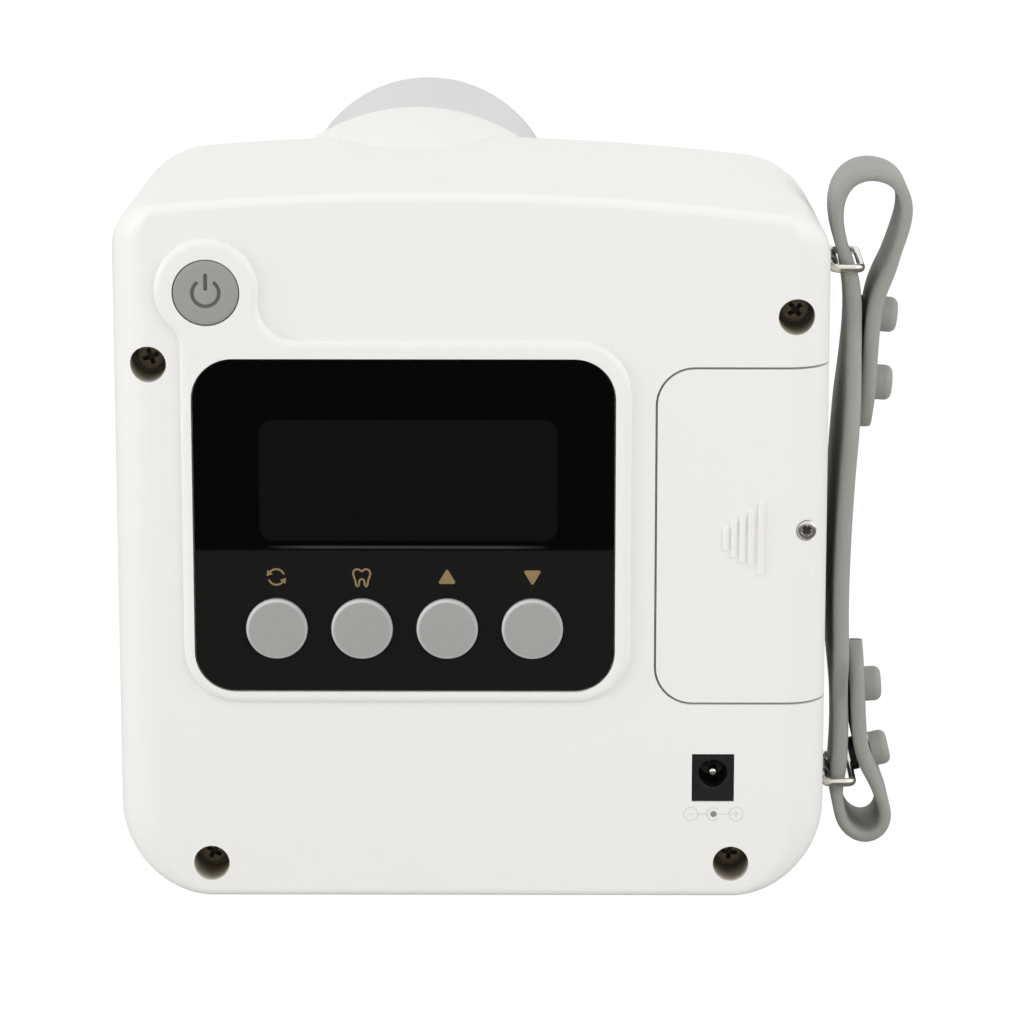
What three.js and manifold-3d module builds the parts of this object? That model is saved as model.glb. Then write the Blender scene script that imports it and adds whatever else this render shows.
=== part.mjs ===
// Hand-held dental x-ray unit, in millimetres.
// Modelled with the rear (display) face at y = 0, depth along +y, the base at z = 0 and x = 0 at the body's middle;
// the last lines move it so that the origin is the middle of the flat base.

import * as THREE from 'three';
import { mergeVertices } from 'three/addons/utils/BufferGeometryUtils.js';
import Module from 'manifold-3d';

const wasm = await Module();
wasm.setup();

// Fits shared by all pieces
const gap = 0.3;
const seamGap = 0.4;
const overrun = 3;
const weldDistance = 0.0001;

// Body
const bodyWidth = 155.6;
const bodyHeight = 158.1;
const bodyDepth = 89;
const wall = 2.6;
const seamDepth = 12;
const tongueLength = 2;
const tongueThickness = 1.3;
const crownRadius = 620;
const crownXShare = -0.06427;
const crownX = bodyWidth * crownXShare;
const rearTopCornerRadius = 10.5;
const frontTopCornerRadius = 19.5;
const bottomCornerRadius = 20;
const sideEdgeRadius = 9;
const topEdgeRadius = 2;
const innerEdgeRadius = 0.6;
const frontEdgeRadius = 15;
const cornerSteps = 7;
const crownSteps = 6;
const innerCornerSteps = 4;
const innerCrownSteps = 4;
const rearEdgeSteps = 4;
const frontEdgeSteps = 5;
const innerEdgeSteps = 2;

// Lens and the raised frame round it
const lensWidthShare = 0.58676;
const lensWidth = bodyWidth * lensWidthShare;
const lensHeightShare = 0.46743;
const lensHeight = bodyHeight * lensHeightShare;
const lensCornerRadius = 8.7;
const lensThickness = 1.5;
const lensXShare = -0.09383;
const lensX = bodyWidth * lensXShare;
const lensZShare = 0.53669;
const lensZ = bodyHeight * lensZShare;
const lensBelowFrame = 0.5;
const frameRise = 1.4;
const frameMarginLeft = 2.6;
const frameMarginRight = 3.7;
const frameMarginTop = 4.3;
const frameMarginBottom = 2.8;
const frameCornerRadius = 12;
const frameBevelWidth = 1.6;
const frameBevelHeight = 1.2;
const frameRoot = 1.5;

// Display module behind the lens
const displayWindowWidthShare = 0.70537;
const displayWindowWidth = lensWidth * displayWindowWidthShare;
const displayWindowHeightShare = 0.35995;
const displayWindowHeight = lensHeight * displayWindowHeightShare;
const displayWindowRadius = 2.8;
const displayOffsetShare = 0.00986;
const displayX = lensX + lensWidth * displayOffsetShare;
const displayLiftShare = 0.1387;
const displayZ = lensZ + lensHeight * displayLiftShare;
const displayGlassMargin = 0.9;
const moduleWidthShare = 0.78861;
const moduleWidth = lensWidth * moduleWidthShare;
const moduleHeightShare = 0.48714;
const moduleHeight = lensHeight * moduleHeightShare;
const moduleThickness = 6.3;

// Function buttons in a row under the window
const buttonCount = 4;
const buttonPitchShare = 0.20372;
const buttonPitch = lensWidth * buttonPitchShare;
const buttonDiameterShare = 0.72043;
const buttonDiameter = buttonPitch * buttonDiameterShare;
const buttonDropShare = 0.31055;
const buttonZ = lensZ - lensHeight * buttonDropShare;
const buttonProud = 1.2;
const buttonTravel = 0.7;
const buttonEdgeRadius = 0.7;
const buttonFlangeWidth = 1.3;
const buttonFlangeThickness = 1;

// Power button in the round lobe of the frame
const powerInset = 5.85;
const powerLift = 10.5;
const powerX = lensX - lensWidth / 2 - frameMarginLeft + powerInset;
const powerZ = lensZ + lensHeight / 2 + frameMarginTop + powerLift;
const powerDiameter = 14.6;
const powerProud = 0.2;
const powerTravel = 0.8;
const powerFlangeWidth = 1.2;
const powerFlangeThickness = 1.2;
const lobeRadius = 11.25;
const lobeLift = 0.5;
const lobeLeftFillet = 5.5;
const lobeRightFillet = 8.2;

// Push switches under the buttons
const switchSide = 6;
const plungerRadius = 1.7;
const plungerLength = 0.9;
const switchSlack = 0.1;

// Circuit boards and the posts that carry them
const boardThickness = 1.6;
const postRadius = 2.6;
const pegRadius = 1.2;
const pegLength = 0.6;
const displayBoardWidthShare = 0.96386;
const displayBoardWidth = lensWidth * displayBoardWidthShare;
const displayBoardHeightShare = 0.94723;
const displayBoardHeight = lensHeight * displayBoardHeightShare;
const displayBoardZ = lensZ;
const displayBoardY = 9.3;
const boardPostMargin = 3.6;
const powerBoardWidthShare = 0.20566;
const powerBoardWidth = bodyWidth * powerBoardWidthShare;
const powerBoardHeight = 13;

// Housing screws in deep counterbores
const upperScrewInsets = [8, 7.6];
const upperScrewHeightShares = [0.76249, 0.82922];
const lowerScrewWidthShares = [-0.37018, 0.36761];
const lowerScrewZ = 7.85;
const screwPlaces = [
  [upperScrewInsets[0] - bodyWidth / 2, bodyHeight * upperScrewHeightShares[0]],
  [bodyWidth / 2 - upperScrewInsets[1], bodyHeight * upperScrewHeightShares[1]],
  ...lowerScrewWidthShares.map((share) => [bodyWidth * share, lowerScrewZ])
];
const counterboreDiameter = 7.9;
const rearPostRadius = 5.8;
const frontPostRadius = 6.2;
const frontPostLength = 18;
const screwShankRadius = 1.5;
const screwHeadRadius = 3.1;
const screwHeadHeight = 2.4;
const screwSeatThickness = 2.5;
const screwReach = 12;
const driveRecessRadius = 1.3;
const driveRecessDepth = 1;
const driveSlotWidth = 0.7;

// Battery door, which wraps round the right edge
const doorWidthShare = 0.24036;
const doorWidth = bodyWidth * doorWidthShare;
const doorLeft = bodyWidth / 2 - doorWidth;
const doorBottomShare = 0.284;
const doorBottom = bodyHeight * doorBottomShare;
const doorTopShare = 0.75648;
const doorTop = bodyHeight * doorTopShare;
const doorCornerRadius = 8;
const doorThickness = 2;
const doorSeam = 0.5;
const doorTravel = 30;
const ledgeWidth = 3;
const ledgeOverlap = 4;
const ledgeThickness = 1.7;
const sideLedgeDepth = 6;
const gripRibPlaceShares = [0.3877, 0.4358, 0.484, 0.5348, 0.5936];
const gripRibX = gripRibPlaceShares.map((share) => doorLeft + doorWidth * share);
const gripRibHeights = [4.9, 8.3, 10.3, 12.1, 16];
const gripRibZShare = 0.51866;
const gripRibZ = bodyHeight * gripRibZShare;
const gripRibWidth = 1.1;
const gripRibRise = 0.45;
const doorScrewInset = 4.8;
const doorScrewX = bodyWidth / 2 - doorScrewInset;
const doorScrewZShare = 0.52878;
const doorScrewZ = bodyHeight * doorScrewZShare;
const doorScrewHeadRadius = 2.1;
const doorScrewHeadHeight = 1.1;
const doorScrewShankRadius = 1;
const doorScrewSeatY = 2.3;
const doorScrewReach = 7;
const doorScrewBossDepth = 8;
const doorScrewBossHalf = 3.2;

// Battery and its tray, both inside the door's opening and clear of the door screw's boss
const batteryClearance = 1.2;
const batteryBossGap = 0.4;
const batteryRight = doorScrewX - doorScrewBossHalf - batteryBossGap;
const batteryWidth = batteryRight - doorLeft - ledgeWidth - batteryClearance;
const batteryHeight = doorTop - doorBottom - 2 * (ledgeWidth + batteryClearance);
const batteryDepthShare = 0.51685;
const batteryDepth = bodyDepth * batteryDepthShare;
const batteryX = batteryRight - batteryWidth / 2;
const batteryZ = (doorTop + doorBottom) / 2;
const batteryY = 6;
const batteryEdgeRadius = 3;
const trayWall = 1.5;
const trayFloorGap = 1;
const contactWidth = 5;
const contactHeight = 10;
const contactThickness = 0.4;
const contactTail = 5;
const contactSpacingShare = 0.4525;
const contactSpacing = batteryHeight * contactSpacingShare;
const shelfThickness = 2;
const shelfStartShare = 0.24719;
const shelfStart = bodyDepth * shelfStartShare;
const shelfLengthShare = 0.29213;
const shelfLength = bodyDepth * shelfLengthShare;

// Power inlet
const inletXShare = 0.34126;
const inletX = bodyWidth * inletXShare;
const inletZ = 27.5;
const inletWidth = 8.8;
const inletHeight = 10.3;
const inletDepth = 14;
const inletBoreRadius = 3.15;
const inletBoreDepth = 10;
const inletBoreLift = 1.1;
const inletPinRadius = 1;
const inletPinHeadRadius = 1.8;
const inletPinHeadLength = 0.8;
const inletRecess = 0.2;
const inletBoardWidth = 26;
const inletBoardHeightShare = 0.13915;
const inletBoardHeight = bodyHeight * inletBoardHeightShare;
const inletPostSpacing = 19;

// Collar and nose, on one axis
const noseXShare = -0.0874;
const noseX = bodyWidth * noseXShare;
const noseZShare = 0.75269;
const noseZ = bodyHeight * noseZShare;
const collarRise = 3;
const collarEdgeRadius = 2.5;
const humpStartYShare = 0.44944;
const humpStartY = bodyDepth * humpStartYShare;
const humpEndYShare = 0.92135;
const humpEndY = bodyDepth * humpEndYShare;
const humpSteps = 6;
const noseSides = 44;
const seatThickness = 2.6;
const seatSetback = 7;
const portRadius = 22;
const flangeThickness = 3;
const socketClearance = 0.4;
const coneLength = 116;
const coneBaseRadius = 33.5;
const coneTaper = 1;
const coneWall = 2.4;
const coneTipRadius = coneBaseRadius - coneTaper;
const coneBoreRadius = coneTipRadius - coneWall;
const flangeWidth = 4.1;
const flangeRadius = coneBaseRadius + flangeWidth;
const collarWidth = 5.9;
const collarRadius = flangeRadius + collarWidth;
const humpTaper = 6;
const humpStartRadius = collarRadius - humpTaper;
const linerThickness = 1;
const linerSetback = 6;
const endRingLength = 5;
const endRingThickness = 0.9;
const endRingLip = 2;
const filterThickness = 2.3;
const collimatorHoleRadius = 12;

// X-ray generator behind the collar
const generatorWidthShare = 0.47558;
const generatorWidth = bodyWidth * generatorWidthShare;
const generatorHeightShare = 0.39532;
const generatorHeight = bodyHeight * generatorHeightShare;
const generatorWall = 3;
const generatorCoverThickness = 3;
const generatorCornerRadius = 4;
const generatorColumn = 5.5;
const generatorScrewRadius = 1.25;
const generatorScrewHeadRadius = 2.5;
const generatorScrewHeadHeight = 1.6;
const generatorScrewReach = 12;
const tubeRadius = 14;
const tubeEndClearance = 1;
const tubeFrontClearance = 5.1;
const tubeRearClearance = 4.7;
const tubeNeckRadius = 8.5;
const tubeNeckLength = 9;
const tubeCavityRadius = 6.2;
const anodeRadius = 5.8;
const anodeStemLength = 4;
const tubeLength = generatorWidth - 2 * (generatorWall + anodeStemLength + tubeEndClearance);
const anodeLengthShare = 0.44828;
const anodeLength = tubeLength * anodeLengthShare;
const cathodeRadius = 4;
const cathodeLengthShare = 0.41379;
const cathodeLength = tubeLength * cathodeLengthShare;
const anodeAngle = 20;
const saddleSpacingShare = 0.51724;
const saddleSpacing = tubeLength * saddleSpacingShare;
const saddleThickness = 4;
const saddleDepth = 20;
const transformerWidth = 40;
const transformerDepth = 9;
const transformerHeight = 30;
const transformerLimb = 6;
const transformerWindow = 7;
const windingShare = 0.4778;
const windingRadius = transformerDepth * windingShare;

// Main board and what stands on it
const mainBoardWidthShare = 0.62982;
const mainBoardWidth = bodyWidth * mainBoardWidthShare;
const mainBoardHeightShare = 0.37951;
const mainBoardHeight = bodyHeight * mainBoardHeightShare;
const mainBoardXShare = -0.08355;
const mainBoardX = bodyWidth * mainBoardXShare;
const mainBoardZShare = 0.28463;
const mainBoardZ = bodyHeight * mainBoardZShare;
const mainBoardSetback = 12.4;
const coilRadius = 13;
const coilTubeRadius = 4.5;
const capacitorRadius = 8;
const capacitorLength = 24;
const buzzerRadius = 6;
const buzzerHeight = 8;

// Exposure button on the front, under the index finger
const exposureXShare = 0.34704;
const exposureX = bodyWidth * exposureXShare;
const exposureZShare = 0.75269;
const exposureZ = bodyHeight * exposureZShare;
const exposureDiameter = 15;
const exposureProud = 2.5;
const exposureTravel = 1.5;
const exposureFlangeWidth = 1.4;
const exposureFlangeThickness = 1.5;
const exposureDish = 0.8;
const exposureEdgeRadius = 1.2;
const guardWidth = 2.6;
const guardRise = 1.6;
const exposureSwitchSide = 9;
const exposureSwitchHeight = 5;
const exposureBoardWidth = 16;
const exposureBoardHeight = 32;
const exposurePostSpacing = 25;

// Strap rings, their clips, the strap and its studs
const ringUpperZShare = 0.86211;
const ringUpperZ = bodyHeight * ringUpperZShare;
const ringLowerZ = 17.9;
const ringPostClearance = 7.7;
const ringY = seamDepth + tongueLength + gap + frontPostLength + ringPostClearance;
const ringInnerReach = 1.7;
const ringOuterReach = 8.15;
const ringInnerX = bodyWidth / 2 + ringInnerReach;
const ringOuterX = bodyWidth / 2 + ringOuterReach;
const ringLength = 22.6;
const ringWireRadius = 0.7;
const ringCornerRadius = 1.8;
const clipEyeClearance = 0.25;
const clipSheet = 0.45;
const clipLength = 8;
const clipTailThickness = 1.2;
const clipFlangeInset = 4;
const clipFlangeX = bodyWidth / 2 - clipFlangeInset;
const clipFlangeThickness = 1.2;
const clipFlangeHeight = 5;
const strapThickness = 3.4;
const strapLoopThickness = 2.7;
const strapThinning = 3.5;
const strapEndWidth = 20;
const strapMiddleWidth = 46;
const strapEdgeRadius = 0.9;
const strapStations = 66;
const strapWideTopShares = [0.7906, 0.6262];
const strapWideBottomShares = [0.2214, 0.3226];
const studHeadRadius = 3.95;
const studHeadHeight = 3.5;
const studSeatGap = 0.6;
const studEdgeRadius = 1.2;
const studStemRadius = 1.8;

// Middle line of the strap seen from behind, from its upper free end round to its lower free end:
// how far out from the body's side it runs, and how high
const strapReaches = [
  9.6, 9.8, 10.2, 10.4, 10.6, 10.9, 11.4, 12.15, 13.3, 14.6, 15.8, 16.8, 17.55, 17.95, 17.6, 16.3,
  13.8, 10.6, 7.4, 4.8, 3.15, 2.65, 2.95, 3.6, 4.35, 5.3, 6.15, 6.7, 6.8, 6.6, 6.3, 5.8, 5.1, 4.45,
  4.15, 4.3, 4.6, 5.2, 5.35, 5.15, 4.95, 4.9, 5.3, 6.2, 7.55, 9.2, 11.5, 13.7, 15.2, 15.8, 15.75,
  15.35, 14.65, 13.8, 12.7, 11.45, 10.4, 9.7, 9.2, 9, 8.75, 8.45, 8.2
];
const strapHeightShares = [
  0.6376, 0.6579, 0.687, 0.7148, 0.7445, 0.773, 0.8014, 0.8216, 0.8413, 0.8611, 0.8843, 0.9045,
  0.9235, 0.9425, 0.9614, 0.9785, 0.9886, 0.9911, 0.9892, 0.9798, 0.9627, 0.9425, 0.9203, 0.8982,
  0.8805, 0.8621, 0.8381, 0.8096, 0.7717, 0.7274, 0.6831, 0.6388, 0.5755, 0.4902, 0.4048, 0.3416,
  0.2783, 0.2214, 0.174, 0.136, 0.1132, 0.0904, 0.0639, 0.0506, 0.0399, 0.0316, 0.0269, 0.0335,
  0.0437, 0.0563, 0.069, 0.0829, 0.0968, 0.1113, 0.1259, 0.1411, 0.1569, 0.1745, 0.2036, 0.234,
  0.2631, 0.2973, 0.3213
];
// Studs, two on each returning run: how high, and how far the stem reaches in from the outer face
const upperStudShares = [0.7843, 0.6857];
const upperStudReaches = [8.4, 7.9];
const lowerStudShares = [0.2397, 0.1347];
const lowerStudReaches = [7.7, 3.2];
const studHoleRunout = 1;
const studs = [
  ...upperStudShares.map((share, i) => ({ z: bodyHeight * share, reach: upperStudReaches[i], run: 'upper' })),
  ...lowerStudShares.map((share, i) => ({ z: bodyHeight * share, reach: lowerStudReaches[i], run: 'lower' }))
];

// Materials
function finish(color, roughness, metalness = 0) {
  return new THREE.MeshStandardMaterial({ color, roughness, metalness });
}
const white = () => finish(0xe9e8e4, 0.4);
const lensBlack = () => finish(0x050506, 0.08);
const buttonGrey = () => finish(0x9e9e9c, 0.6);
const powerGrey = () => finish(0x92938d, 0.6);
const strapGrey = () => finish(0x8e8e88, 0.7);
const coneGrey = () => finish(0xdadad9, 0.45);
const black = () => finish(0x141416, 0.4);
const board = () => finish(0x1d5c38, 0.5);
const bright = () => finish(0xc8c8c4, 0.25, 1);
const steel = () => finish(0x8f9092, 0.35, 1);
const aluminium = () => finish(0xb8babd, 0.4, 1);
const lead = () => finish(0x5d6066, 0.6, 1);
const copper = () => finish(0xb87348, 0.35, 1);
const brass = () => finish(0xc9a24c, 0.3, 1);
const glass = () => finish(0xdfe8ea, 0.05);
const winding = () => finish(0x8a4a22, 0.45);
const blue = () => finish(0x274b7a, 0.4);

// Solids
function signedVolume(position, index) {
  const a = new THREE.Vector3();
  const b = new THREE.Vector3();
  const c = new THREE.Vector3();
  let sum = 0;
  for (let i = 0; i < index.length; i += 3) {
    a.fromArray(position, index[i] * 3);
    b.fromArray(position, index[i + 1] * 3);
    c.fromArray(position, index[i + 2] * 3);
    sum += a.dot(b.cross(c));
  }
  return sum;
}

function toSolid(geometry) {
  const bare = new THREE.BufferGeometry();
  bare.setAttribute('position', geometry.attributes.position.clone());
  if (geometry.index) bare.setIndex(geometry.index.clone());
  const merged = mergeVertices(bare, weldDistance);
  const position = new Float32Array(merged.attributes.position.array);
  const index = [];
  const source = merged.index.array;
  for (let i = 0; i < source.length; i += 3) {
    const [p, q, r] = [source[i], source[i + 1], source[i + 2]];
    if (p !== q && q !== r && r !== p) index.push(p, q, r);
  }
  if (signedVolume(position, index) < 0) index.reverse();
  const mesh = new wasm.Mesh({ numProp: 3, vertProperties: position, triVerts: new Uint32Array(index) });
  return new wasm.Manifold(mesh);
}

function toGeometry(solid) {
  const mesh = solid.getMesh();
  const geometry = new THREE.BufferGeometry();
  const stride = mesh.numProp;
  const count = mesh.vertProperties.length / stride;
  const position = new Float32Array(count * 3);
  for (let i = 0; i < count; i++) {
    for (let k = 0; k < 3; k++) position[i * 3 + k] = mesh.vertProperties[i * stride + k];
  }
  geometry.setAttribute('position', new THREE.BufferAttribute(position, 3));
  geometry.setIndex(Array.from(mesh.triVerts));
  return geometry;
}

function join(first, ...rest) {
  return rest.reduce((sum, item) => sum.add(item), first);
}

function cut(first, ...tools) {
  return tools.reduce((rest, tool) => rest.subtract(tool), first);
}

// A block between two corners
function block(x0, x1, y0, y1, z0, z1) {
  const geometry = new THREE.BoxGeometry(x1 - x0, y1 - y0, z1 - z0);
  geometry.translate((x0 + x1) / 2, (y0 + y1) / 2, (z0 + z1) / 2);
  return toSolid(geometry);
}

// A round rod along y
function rod(radius, y0, y1, x, z, sides = 24) {
  const geometry = new THREE.CylinderGeometry(radius, radius, y1 - y0, sides);
  geometry.translate(x, (y0 + y1) / 2, z);
  return toSolid(geometry);
}

// A round rod along x
function rodAcross(radius, x0, x1, y, z, sides = 24) {
  const geometry = new THREE.CylinderGeometry(radius, radius, x1 - x0, sides);
  geometry.rotateZ(Math.PI / 2);
  geometry.translate((x0 + x1) / 2, y, z);
  return toSolid(geometry);
}

// A solid of revolution about a line along y; the profile is a list of [radius, y]
function turned(profile, x, z, sides = 32) {
  const points = profile.map(([r, y]) => new THREE.Vector2(r, y));
  const geometry = new THREE.LatheGeometry(points, sides);
  geometry.translate(x, 0, z);
  return toSolid(geometry);
}

// A ring of revolution, closed on itself
function turnedRing(profile, x, z, sides = 32) {
  return turned([...profile, profile[0]], x, z, sides);
}

// A flat shape in x and z, given thickness along y
function plate(shape, y0, y1, curveSegments = 6) {
  const geometry = new THREE.ExtrudeGeometry(shape, { depth: y1 - y0, bevelEnabled: false, curveSegments });
  geometry.rotateX(Math.PI / 2);
  geometry.translate(0, y1, 0);
  return toSolid(geometry);
}

function roundedRectangle(x, z, width, height, radius) {
  const shape = new THREE.Shape();
  const [x0, x1, z0, z1] = [x - width / 2, x + width / 2, z - height / 2, z + height / 2];
  shape.moveTo(x0 + radius, z0);
  shape.lineTo(x1 - radius, z0);
  shape.absarc(x1 - radius, z0 + radius, radius, -Math.PI / 2, 0, false);
  shape.lineTo(x1, z1 - radius);
  shape.absarc(x1 - radius, z1 - radius, radius, 0, Math.PI / 2, false);
  shape.lineTo(x0 + radius, z1);
  shape.absarc(x0 + radius, z1 - radius, radius, Math.PI / 2, Math.PI, false);
  shape.lineTo(x0, z0 + radius);
  shape.absarc(x0 + radius, z0 + radius, radius, Math.PI, Math.PI * 1.5, false);
  return shape;
}

// Rings of points, joined one to the next and closed at both ends by a fan about their middle
function stack(rings) {
  const count = rings[0].length;
  const position = [];
  const index = [];
  for (const ring of rings) for (const p of ring) position.push(p.x, p.y, p.z);
  for (let k = 0; k + 1 < rings.length; k++) {
    for (let i = 0; i < count; i++) {
      const j = (i + 1) % count;
      const [a, b] = [k * count + i, k * count + j];
      index.push(a, b, b + count, a, b + count, a + count);
    }
  }
  const closeEnd = (ring, start, reverse) => {
    const middle = ring.reduce((sum, p) => sum.add(p), new THREE.Vector3()).divideScalar(count);
    const centre = position.length / 3;
    position.push(middle.x, middle.y, middle.z);
    for (let i = 0; i < count; i++) {
      const j = (i + 1) % count;
      if (reverse) index.push(centre, start + j, start + i);
      else index.push(centre, start + i, start + j);
    }
  };
  closeEnd(rings[0], 0, true);
  closeEnd(rings[rings.length - 1], (rings.length - 1) * count, false);
  const geometry = new THREE.BufferGeometry();
  geometry.setAttribute('position', new THREE.BufferAttribute(new Float32Array(position), 3));
  geometry.setIndex(index);
  return toSolid(geometry);
}

// Outline of the body in x and z with outward normals: flat base, round corners, crowned top
function bodyOutline(topRadius, fine) {
  const [corner, crown] = fine ? [cornerSteps, crownSteps] : [innerCornerSteps, innerCrownSteps];
  const points = [];
  const arc = (x, z, radius, from, to, steps, skipEnds = false) => {
    for (let i = skipEnds ? 1 : 0; i <= (skipEnds ? steps - 1 : steps); i++) {
      const angle = from + ((to - from) * i) / steps;
      const [nx, nz] = [Math.cos(angle), Math.sin(angle)];
      points.push({ x: x + radius * nx, z: z + radius * nz, nx, nz });
    }
  };
  const side = bodyWidth / 2;
  const crownZ = bodyHeight - crownRadius;
  const cornerX = side - topRadius;
  const cornerZ = (x) => crownZ + Math.sqrt((crownRadius - topRadius) ** 2 - (x - crownX) ** 2);
  const right = Math.atan2(cornerZ(cornerX) - crownZ, cornerX - crownX);
  const left = Math.atan2(cornerZ(-cornerX) - crownZ, -cornerX - crownX);
  const low = bottomCornerRadius;
  arc(side - low, low, low, -Math.PI / 2, 0, corner);
  arc(cornerX, cornerZ(cornerX), topRadius, 0, right, corner);
  arc(crownX, crownZ, crownRadius, right, left, crown, true);
  arc(-cornerX, cornerZ(-cornerX), topRadius, left, Math.PI, corner);
  arc(low - side, low, low, Math.PI, Math.PI * 1.5, corner);
  return points;
}

function topRadiusAt(y) {
  const along = THREE.MathUtils.clamp((y - seamDepth) / (bodyDepth - seamDepth), 0, 1);
  return THREE.MathUtils.lerp(rearTopCornerRadius, frontTopCornerRadius, along);
}

// Surfaces on or near the outside are drawn finer than those inside
const isOuter = (inset) => inset < wall;

// One ring of the body's skin: the outline drawn in along its normals
function bodyRing(y, inset, fine = isOuter(inset)) {
  return bodyOutline(topRadiusAt(y), fine).map((p) => new THREE.Vector3(p.x - p.nx * inset, y, p.z - p.nz * inset));
}

// Rings over the rear edge, whose rounding grows from the top edge round to the side
function rearEdgeRings(inset) {
  const rings = [];
  const steps = isOuter(inset) ? rearEdgeSteps : innerEdgeSteps;
  for (let k = 0; k <= steps; k++) {
    const angle = (Math.PI / 2) * (k / steps);
    rings.push(bodyOutline(rearTopCornerRadius, isOuter(inset)).map((p) => {
      const full = THREE.MathUtils.lerp(topEdgeRadius, sideEdgeRadius, Math.abs(p.nx) ** 1.5);
      const radius = Math.max(full - inset, innerEdgeRadius);
      const drawnIn = inset + radius * (1 - Math.sin(angle));
      return new THREE.Vector3(p.x - p.nx * drawnIn, inset + radius * (1 - Math.cos(angle)), p.z - p.nz * drawnIn);
    }));
  }
  return rings;
}

function frontEdgeRings(inset) {
  const rings = [];
  const radius = frontEdgeRadius - inset;
  const steps = isOuter(inset) ? frontEdgeSteps : innerEdgeSteps;
  for (let k = steps; k >= 0; k--) {
    const angle = (Math.PI / 2) * (k / steps);
    const y = bodyDepth - inset - radius * (1 - Math.cos(angle));
    rings.push(bodyRing(y, inset + radius * (1 - Math.sin(angle)), isOuter(inset)));
  }
  return rings;
}

// The body behind the seam and the body in front of it, each drawn in by an inset
const rearForm = (inset, y1) => stack([...rearEdgeRings(inset), bodyRing(y1, inset)]);
const frontForm = (inset, y0) => stack([bodyRing(y0, inset), ...frontEdgeRings(inset)]);
const sleeveForm = (inset, y0, y1) => stack([bodyRing(y0, inset), bodyRing(y1, inset)]);

// Outline of the raised frame: a rectangle round the lens that flows into a lobe round the power button
function frameShape() {
  const shape = new THREE.Shape();
  const x0 = lensX - lensWidth / 2 - frameMarginLeft;
  const x1 = lensX + lensWidth / 2 + frameMarginRight;
  const z0 = lensZ - lensHeight / 2 - frameMarginBottom;
  const z1 = lensZ + lensHeight / 2 + frameMarginTop;
  const r = frameCornerRadius;
  const [lobeX, lobeZ] = [powerX, powerZ + lobeLift];
  const rightZ = z1 + lobeRightFillet;
  const rightReach = lobeRadius + lobeRightFillet;
  const rightX = lobeX + Math.sqrt(rightReach ** 2 - (rightZ - lobeZ) ** 2);
  const rightAngle = Math.atan2(lobeZ - rightZ, lobeX - rightX);
  const leftX = x0 - lobeLeftFillet;
  const leftReach = lobeRadius + lobeLeftFillet;
  const leftZ = lobeZ - Math.sqrt(leftReach ** 2 - (leftX - lobeX) ** 2);
  const leftAngle = Math.atan2(lobeZ - leftZ, lobeX - leftX);
  shape.moveTo(x0 + r, z0);
  shape.lineTo(x1 - r, z0);
  shape.absarc(x1 - r, z0 + r, r, -Math.PI / 2, 0, false);
  shape.lineTo(x1, z1 - r);
  shape.absarc(x1 - r, z1 - r, r, 0, Math.PI / 2, false);
  shape.lineTo(rightX, z1);
  shape.absarc(rightX, rightZ, lobeRightFillet, Math.PI * 1.5, rightAngle, true);
  shape.absarc(lobeX, lobeZ, lobeRadius, rightAngle - Math.PI, leftAngle + Math.PI, false);
  shape.absarc(leftX, leftZ, lobeLeftFillet, leftAngle, 0, true);
  shape.lineTo(x0, z0 + r);
  shape.absarc(x0 + r, z0 + r, r, Math.PI, Math.PI * 1.5, false);
  return shape;
}

function raisedFrame() {
  const geometry = new THREE.ExtrudeGeometry(frameShape(), {
    depth: frameRoot + frameRise - frameBevelHeight * 2,
    bevelEnabled: true,
    bevelThickness: frameBevelHeight,
    bevelSize: frameBevelWidth,
    bevelOffset: -frameBevelWidth,
    bevelSegments: 2,
    curveSegments: 6
  });
  geometry.rotateX(Math.PI / 2);
  geometry.translate(0, frameRoot - frameBevelHeight, 0);
  return toSolid(geometry);
}

// The door's outline, grown or shrunk by a margin; it runs out past the right side
function doorShape(margin) {
  const x1 = bodyWidth / 2 + overrun;
  const [x0, z0, z1] = [doorLeft - margin, doorBottom - margin, doorTop + margin];
  const r = doorCornerRadius + margin;
  const shape = new THREE.Shape();
  shape.moveTo(x1, z0);
  shape.lineTo(x1, z1);
  shape.lineTo(x0 + r, z1);
  shape.absarc(x0 + r, z1 - r, r, Math.PI / 2, Math.PI, false);
  shape.lineTo(x0, z0 + r);
  shape.absarc(x0 + r, z0 + r, r, Math.PI, Math.PI * 1.5, false);
  return shape;
}

// Depths worked out from the sizes above
const tongueEnd = seamDepth + tongueLength;
const lensFace = lensBelowFrame - frameRise;
const lensBack = lensFace + lensThickness;
const doorInner = doorThickness + gap;
const counterboreFloor = tongueEnd - screwSeatThickness;
const frontInner = bodyDepth - wall;
const collarEnd = bodyDepth + collarRise;
const seatFace = collarEnd - seatSetback;
const seatBack = seatFace - seatThickness;
const generatorEndY = seatBack - gap;
const tubeY = generatorEndY - generatorWall - tubeFrontClearance - tubeRadius;
const generatorStartY = tubeY - tubeRadius - tubeRearClearance - transformerDepth - gap;
const mainBoardY = frontInner - mainBoardSetback;
const buttonX = (i) => lensX + buttonPitch * (i - (buttonCount - 1) / 2);
const displayBoardPosts = [-1, 1].flatMap((sx) => [-1, 1].map((sz) => [
  lensX + sx * (displayBoardWidth / 2 - boardPostMargin),
  displayBoardZ + sz * (displayBoardHeight / 2 - boardPostMargin)
]));
const powerBoardPosts = [-1, 1].map((s) => [powerX + s * (powerBoardWidth / 2 - boardPostMargin), powerZ]);
const inletPosts = [-1, 1].map((s) => [inletX + (s * inletPostSpacing) / 2, inletZ]);
const inletBack = inletRecess + inletDepth;
const inletBoardY = inletBack + gap;
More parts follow.
